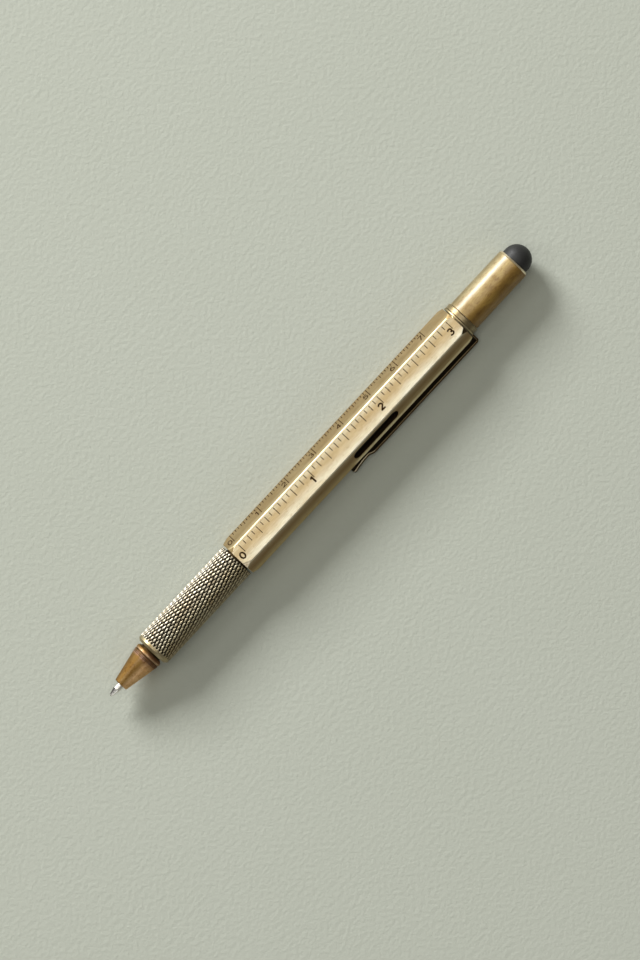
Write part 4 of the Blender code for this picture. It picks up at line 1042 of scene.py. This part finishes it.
def make_nose():
    """Nose cone with its turned lines, bead, neck and threaded spigot."""
    point_bore = POINT_RADIUS + FIT
    refill_bore = REFILL_RADIUS + FIT
    slope = (NOSE_BACK_RADIUS - NOSE_TIP_RADIUS) / (CONE_BACK - NOSE_FRONT)
    middles = [CONE_BACK - LINE_INSET - LINE_STEP * number for number in range(LINES)]
    lines = []
    for at in middles:
        radius = NOSE_BACK_RADIUS - slope * (CONE_BACK - at)
        lines += [(at + LINE_WIDTH, radius + slope * LINE_WIDTH), (at, radius - LINE_WIDTH),
                  (at - LINE_WIDTH, radius - slope * LINE_WIDTH)]
    outline = rounded([
        (GRIP_FRONT - FIT, SPIGOT_RADIUS), (BEAD_BACK, SPIGOT_RADIUS),
        (BEAD_BACK, NOSE_RING_RADIUS - BEAD_STEP),
        (BEAD_BACK - BEAD_EDGE, NOSE_RING_RADIUS, BEAD_FILLETS[0]),
        (BEAD_FRONT, NOSE_RING_RADIUS, BEAD_FILLETS[1]),
        (BEAD_FRONT, NOSE_BACK_RADIUS - GROOVE_DEPTH), (CONE_BACK, NOSE_BACK_RADIUS - GROOVE_DEPTH),
        (CONE_BACK, NOSE_BACK_RADIUS, CONE_FILLET), *lines,
        (NOSE_FRONT, NOSE_TIP_RADIUS, NOSE_TIP_FILLET), (NOSE_FRONT, point_bore),
        (LIP_BACK, point_bore), (LIP_BACK, refill_bore), (SPIGOT_BACK, refill_bore),
    ], closed=False)
    thread = thread_rings(GRIP_FRONT + THREAD_PITCH, SPIGOT_BACK - THREAD_INSET, SPIGOT_RADIUS)
    rings = [(SPIGOT_BACK, SPIGOT_RADIUS - THREAD_DEPTH), *thread[::-1], *outline]
    mesh = skin("nose", rings, even_turns(THREAD_COLUMNS), closed=True)
    nose = new_piece("turned_nose", mesh, NOSE_BRASS, SHADOW_BRASS, BEAD_GLINT_BRASS)
    # Painted shade: the turned lines, the groove behind the cone and everything behind the bead in
    # near-black brass; painted highlight: a paler band along the bead's front.
    for face in mesh.polygons:
        at = face.center.x
        in_line = any(abs(at - middle) < LINE_WIDTH for middle in middles)
        if in_line or CONE_BACK < at < BEAD_FRONT or at > BEAD_BACK - LINE_WIDTH:
            face.material_index = 1
        elif BEAD_FRONT < at < BEAD_FRONT + BEAD_GLINT_WIDTH:
            face.material_index = 2
    dress(nose, "nose", "nose_cone")


def make_point():
    """Writing point of the refill."""
    seat = TIP + BALL_RADIUS
    head_back = HEAD_FRONT + HEAD_LENGTH
    point = turned("point", [
        (POINT_BACK, 0), (POINT_BACK, POINT_TAIL_RADIUS), (head_back, POINT_TAIL_RADIUS),
        (head_back, POINT_WIDEST, HEAD_FILLET), (HEAD_FRONT, POINT_WIDEST, HEAD_FILLET),
        (HEAD_FRONT, POINT_RADIUS), (POINT_SHOULDER, POINT_RADIUS, SHOULDER_FILLET),
        (POINT_FRONT, POINT_MOUTH), (seat, BALL_RADIUS + BALL_ROOM), (seat + SEAT_DEPTH, 0),
    ], closed=False, columns=SMALL_COLUMNS)
    dress(new_piece("steel_point", point, POINT_STEEL), "refill", "refill_point")


def make_ball():
    """Ball in the point."""
    angles = [math.pi * step / BALL_STEPS for step in range(1, BALL_STEPS)]
    arc = [(TIP + BALL_RADIUS * (1 - math.cos(angle)), BALL_RADIUS * math.sin(angle))
           for angle in angles]
    ball = skin("ball", [(TIP, 0), *arc, (TIP + 2 * BALL_RADIUS, 0)], even_turns(BALL_COLUMNS))
    dress(new_piece("carbide_ball", ball, STEEL), "refill", "writing_ball")


def strip_section(thickness):
    """Section of the clip's strip with rounded edges, as (across, through)."""
    half = CLIP_WIDTH / 2
    rise = thickness / 2
    return rounded([(half, rise, CLIP_EDGE), (-half, rise, CLIP_EDGE), (-half, -rise, CLIP_EDGE),
                    (half, -rise, CLIP_EDGE)])


def clip_line():
    """Middle line of the clip as (station, height), from its washer to its lip."""
    plate = (RING_FRONT + RING_BACK) / 2
    blade = plate - CLIP_BEND
    pinch = CLIP_TIP + LIP_LENGTH + PINCH_LENGTH
    line = [(plate, RING_RADIUS - CLIP_BEND), (plate, CLIP_HEIGHT - CLIP_BEND - CLIP_ROOT)]
    for step in range(BEND_STEPS + 1):
        angle = math.pi / 2 * step / BEND_STEPS
        line.append((plate - CLIP_BEND * (1 - math.cos(angle)),
                     CLIP_HEIGHT - CLIP_BEND * (1 - math.sin(angle))))
    line += [(blade + (pinch - blade) * step / BLADE_STEPS, CLIP_HEIGHT)
             for step in range(1, BLADE_STEPS + 1)]
    line += [(pinch - PINCH_LENGTH * step / PINCH_STEPS,
              CLIP_HEIGHT - CLIP_DIP * (1 - math.cos(math.pi * step / PINCH_STEPS)) / 2)
             for step in range(1, PINCH_STEPS + 1)]
    line += [(CLIP_TIP + LIP_LENGTH * (1 - share), CLIP_HEIGHT - CLIP_DIP * (1 - share ** 2))
             for share in LIP_SHARES]
    return line


def strip_mesh():
    """Clip's strip along its middle line, with a rounded tip."""
    place = face_frame(CLIP_FACE)
    line = clip_line()
    plate = RING_BACK - RING_FRONT
    half = CLIP_WIDTH / 2
    rings = []
    for index, (station, height) in enumerate(line):
        before = Vector(line[max(index - 1, 0)])
        after = Vector(line[min(index + 1, len(line) - 1)])
        across = (after - before).normalized().orthogonal()
        share = min(1, max(0, (index - 1) / TAPER_STEPS))
        left = max(CLIP_CORNER - (station - CLIP_TIP), 0) if height > RING_RADIUS else 0
        inset = CLIP_CORNER - math.sqrt(max(0, CLIP_CORNER ** 2 - left ** 2))
        section = strip_section(plate + (CLIP_THICKNESS - plate) * share)
        rings.append([place @ Vector((station + across.x * through,
                                      sideways * (half - inset) / half,
                                      height + across.y * through))
                      for sideways, through in section])
    strip = lofted("strip", rings)
    columns = len(rings[0])
    # The strip's rounded upper edge is painted shade, but near the lip it and the tip's end face
    # are pale: partly wear, partly painted highlight.
    worn_glint, edge_shade = 1, 2
    for face in strip.polygons[:-2]:
        row, column = divmod(face.index, columns)
        if 1 <= column < columns // 4 - 2:
            face.material_index = worn_glint if rings[row][0].x < CLIP_TIP + LIP_WEAR_GLINT else edge_shade
    strip.polygons[-1].material_index = worn_glint
    add_materials(strip, DEEP_SHADE_BRASS, WORN_GLINT_BRASS, EDGE_SHADE_BRASS)
    return strip


def make_clip():
    """Clip and its washer, one stamped strip."""
    washer = turned("washer", [
        (RING_BACK, RING_RADIUS, WASHER_FILLET), (RING_FRONT, RING_RADIUS, WASHER_FILLET),
        (RING_FRONT, BORE_RADIUS), (RING_BACK, BORE_RADIUS)])
    washer.materials.append(GRIP_BRASS)
    clip = new_piece("pocket_clip", cut(washer, strip_mesh(), operation='UNION'))
    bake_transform(clip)
    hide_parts("clip_ring", "clip_arm")


def socket_cutters():
    """Flared hexagonal socket for the bit, and the magnet's pocket in front of it."""
    corner = (BIT_HALF_FLATS + FIT) * CORNER_STRETCH
    angles = [math.tau * (side + 0.5) / SIDES for side in range(SIDES)]
    hexagon = [(corner * math.sin(angle), corner * math.cos(angle)) for angle in angles]
    flare = [(SOCKET_FLARE * across, SOCKET_FLARE * up) for across, up in hexagon]
    along = Matrix.Translation((0, 0, AXIS_HEIGHT)) @ Matrix.Rotation(math.pi / 2, 4, 'Y')
    socket = stacked("socket", [(hexagon, MAGNET_BACK), (hexagon, STUB_BACK - FLARE_START),
                                (flare, STUB_BACK + FLARE_OVERCUT)], along)
    reach = MAGNET_RADIUS + FIT
    pocket = turned("pocket", [
        (MAGNET_BACK + SEAM, 0), (MAGNET_BACK + SEAM, reach),
        (BUSHING_FRONT - POCKET_OVERCUT, reach), (BUSHING_FRONT - POCKET_OVERCUT, 0),
    ], closed=False, columns=SMALL_COLUMNS)
    return socket, pocket


def make_bushing():
    """Bushing with its collar, threaded stub and hexagonal socket."""
    collar_back = CAP_FRONT - SEAM + COLLAR_REACH
    collar_front = RING_BACK + SEAM - COLLAR_REACH
    outline = rounded([
        (collar_back, STUB_RADIUS - STUB_GROOVE), (collar_back, COLLAR_RADIUS, COLLAR_FILLETS[0]),
        (collar_front, COLLAR_RADIUS - COLLAR_FILLETS[1], COLLAR_FILLETS[1]),
        (collar_front, SEATED_RADIUS), (BUSHING_FRONT, SEATED_RADIUS, BUSHING_FILLET),
        (BUSHING_FRONT, 0),
    ], closed=False)
    thread = thread_rings(collar_back + THREAD_START, STUB_BACK - THREAD_END, STUB_RADIUS)
    mesh = skin("bushing", [
        (STUB_BACK, 0), (STUB_BACK, STUB_RADIUS - THREAD_DEPTH), *thread[::-1],
        (collar_back + STUB_RELIEF, STUB_RADIUS - STUB_GROOVE), *outline,
    ], even_turns(THREAD_COLUMNS))
    mesh = cut(mesh, *socket_cutters())
    dress(new_piece("threaded_bushing", mesh, COLLAR_BRASS), "barrel", "top_bushing")


def make_cap():
    """Cap tube with a seat for the stylus in its end."""
    bore = STUB_RADIUS + FIT
    stem = STEM_RADIUS + FIT
    seat = STYLUS_RADIUS + FIT
    wall_back = CAP_BACK - STYLUS_SEAT
    wall_front = wall_back - CAP_WALL
    bevel, depth = CAP_BEVEL
    mesh = turned("cap", [
        (CAP_BACK, CAP_RADIUS - depth, CAP_FILLET), (CAP_BACK - bevel, CAP_RADIUS, depth),
        (CAP_FRONT, CAP_RADIUS, CAP_FILLET), (CAP_FRONT, bore, CAP_FILLET), (wall_front, bore),
        (wall_front, stem), (wall_back, stem), (wall_back, seat), (CAP_BACK, seat, SEAT_FILLET)])
    shell = new_piece("cap_shell", mesh, CAP_BRASS, WORN_GLINT_BRASS)
    # Both rims are pale: partly wear, partly painted highlight.
    for face in mesh.polygons:
        if not CAP_FRONT + CAP_WORN_GLINT_FRONT < face.center.x < CAP_BACK - CAP_WORN_GLINT_BACK:
            face.material_index = 1
    dress(shell, "cap", "cap_tube")


def make_stylus():
    """Hollow stylus dome in the cap's end."""
    centre = STYLUS_BACK - STYLUS_RADIUS
    angles = [math.pi / 2 * step / DOME_STEPS for step in range(1, DOME_STEPS + 1)]
    arc = [(centre + STYLUS_RADIUS * math.cos(angle), STYLUS_RADIUS * math.sin(angle))
           for angle in angles]
    hollow = STYLUS_RADIUS - STYLUS_WALL
    roof = STYLUS_BACK - STYLUS_CROWN
    inside = [(STYLUS_FRONT + SUPPORT, STYLUS_RADIUS), (STYLUS_FRONT, STYLUS_RADIUS),
              (STYLUS_FRONT, hollow), (roof - CROWN_EDGE, hollow), (roof, hollow - CROWN_EDGE),
              (roof, 0)]
    mesh = skin("dome", [(STYLUS_BACK, 0), *arc, *inside], even_turns(TURN_COLUMNS))
    dress(new_piece("stylus_dome", mesh, RUBBER), "cap", "stylus_tip")


def dress_frame():
    """Give the frame's own solids their finish."""
    finishes = {
        BLACK_PLASTIC: ("vial_cradle", "stylus_plug"),
        CLEAR_PLASTIC: ("level_vial",),
        LIQUID: ("level_liquid",),
        WHITE_PLASTIC: ("vial_plug", "plunger"),
        RUBBER: ("friction_ring",),
        STEEL: ("retaining_ring", "cam_pin"),
        DARK_STEEL: ("bit_magnet", "driver_bit"),
        REFILL_METAL: ("refill_tube",),
        COLLAR_BRASS: ("cam_sleeve",),
        # The drive tube shows only in the gap behind the grip: painted shade.
        SHADOW_BRASS: ("drive_tube",),
    }
    for material, nodes in finishes.items():
        for node in nodes:
            mesh = frame["nodes"][node].data
            mesh.materials.clear()
            mesh.materials.append(material)
            shade(mesh)


def make_floor():
    """Sage paper that the pen lies on."""
    material, tree, shader = new_surface("sage_paper")
    clouds = levels(tree, grain(tree, 14, 3, 0.5), 0.3, 0.7)
    colour = blend_colours(tree, clouds, (0.513, 0.537, 0.468), (0.503, 0.528, 0.456))
    tree.links.new(colour, shader.inputs["Base Color"])
    set_values(shader, Roughness=0.9, Specular_IOR_Level=0.2)
    relief(tree, shader, grain(tree, 900, 4, 0.55), 0.0003, 0.5)
    shape = bmesh.new()
    bmesh.ops.create_grid(shape, x_segments=1, y_segments=1, size=FLOOR_REACH)
    mesh = finished("floor", shape)
    mesh.materials.append(material)
    floor = linked("floor", mesh)


def make_light():
    """Key from +Y, a large soft light overhead, two small soft ones and a dim room."""
    for name, place, size, watts, colour in LIGHTS:
        data = bpy.data.lights.new(name, 'AREA')
        data.shape = 'RECTANGLE'
        data.size, data.size_y = size
        data.energy = watts
        data.color = colour
        lamp = linked(name, data)
        lamp.location = place
        lamp.rotation_euler = (-Vector(place)).to_track_quat('-Z', 'Y').to_euler()
    world = bpy.data.worlds.new("room")
    bpy.context.scene.world = world
    world.use_nodes = True
    set_values(world.node_tree.nodes["Background"], Color=ROOM_COLOUR, Strength=ROOM_STRENGTH)


def make_camera():
    """Camera straight above, turned so that the pen lies as in the photograph."""
    data = bpy.data.cameras.new("camera")
    data.lens = CAMERA_LENS
    camera = linked("camera", data)
    camera.location = CAMERA_PLACE
    camera.rotation_euler = (0, 0, CAMERA_TURN)
    bpy.context.scene.camera = camera


make_barrel()
make_grip()
make_nose()
make_point()
make_ball()
make_clip()
make_bushing()
make_cap()
make_stylus()
dress_frame()
make_floor()
make_light()
make_camera()
bpy.context.scene.view_settings.view_transform = 'Standard'
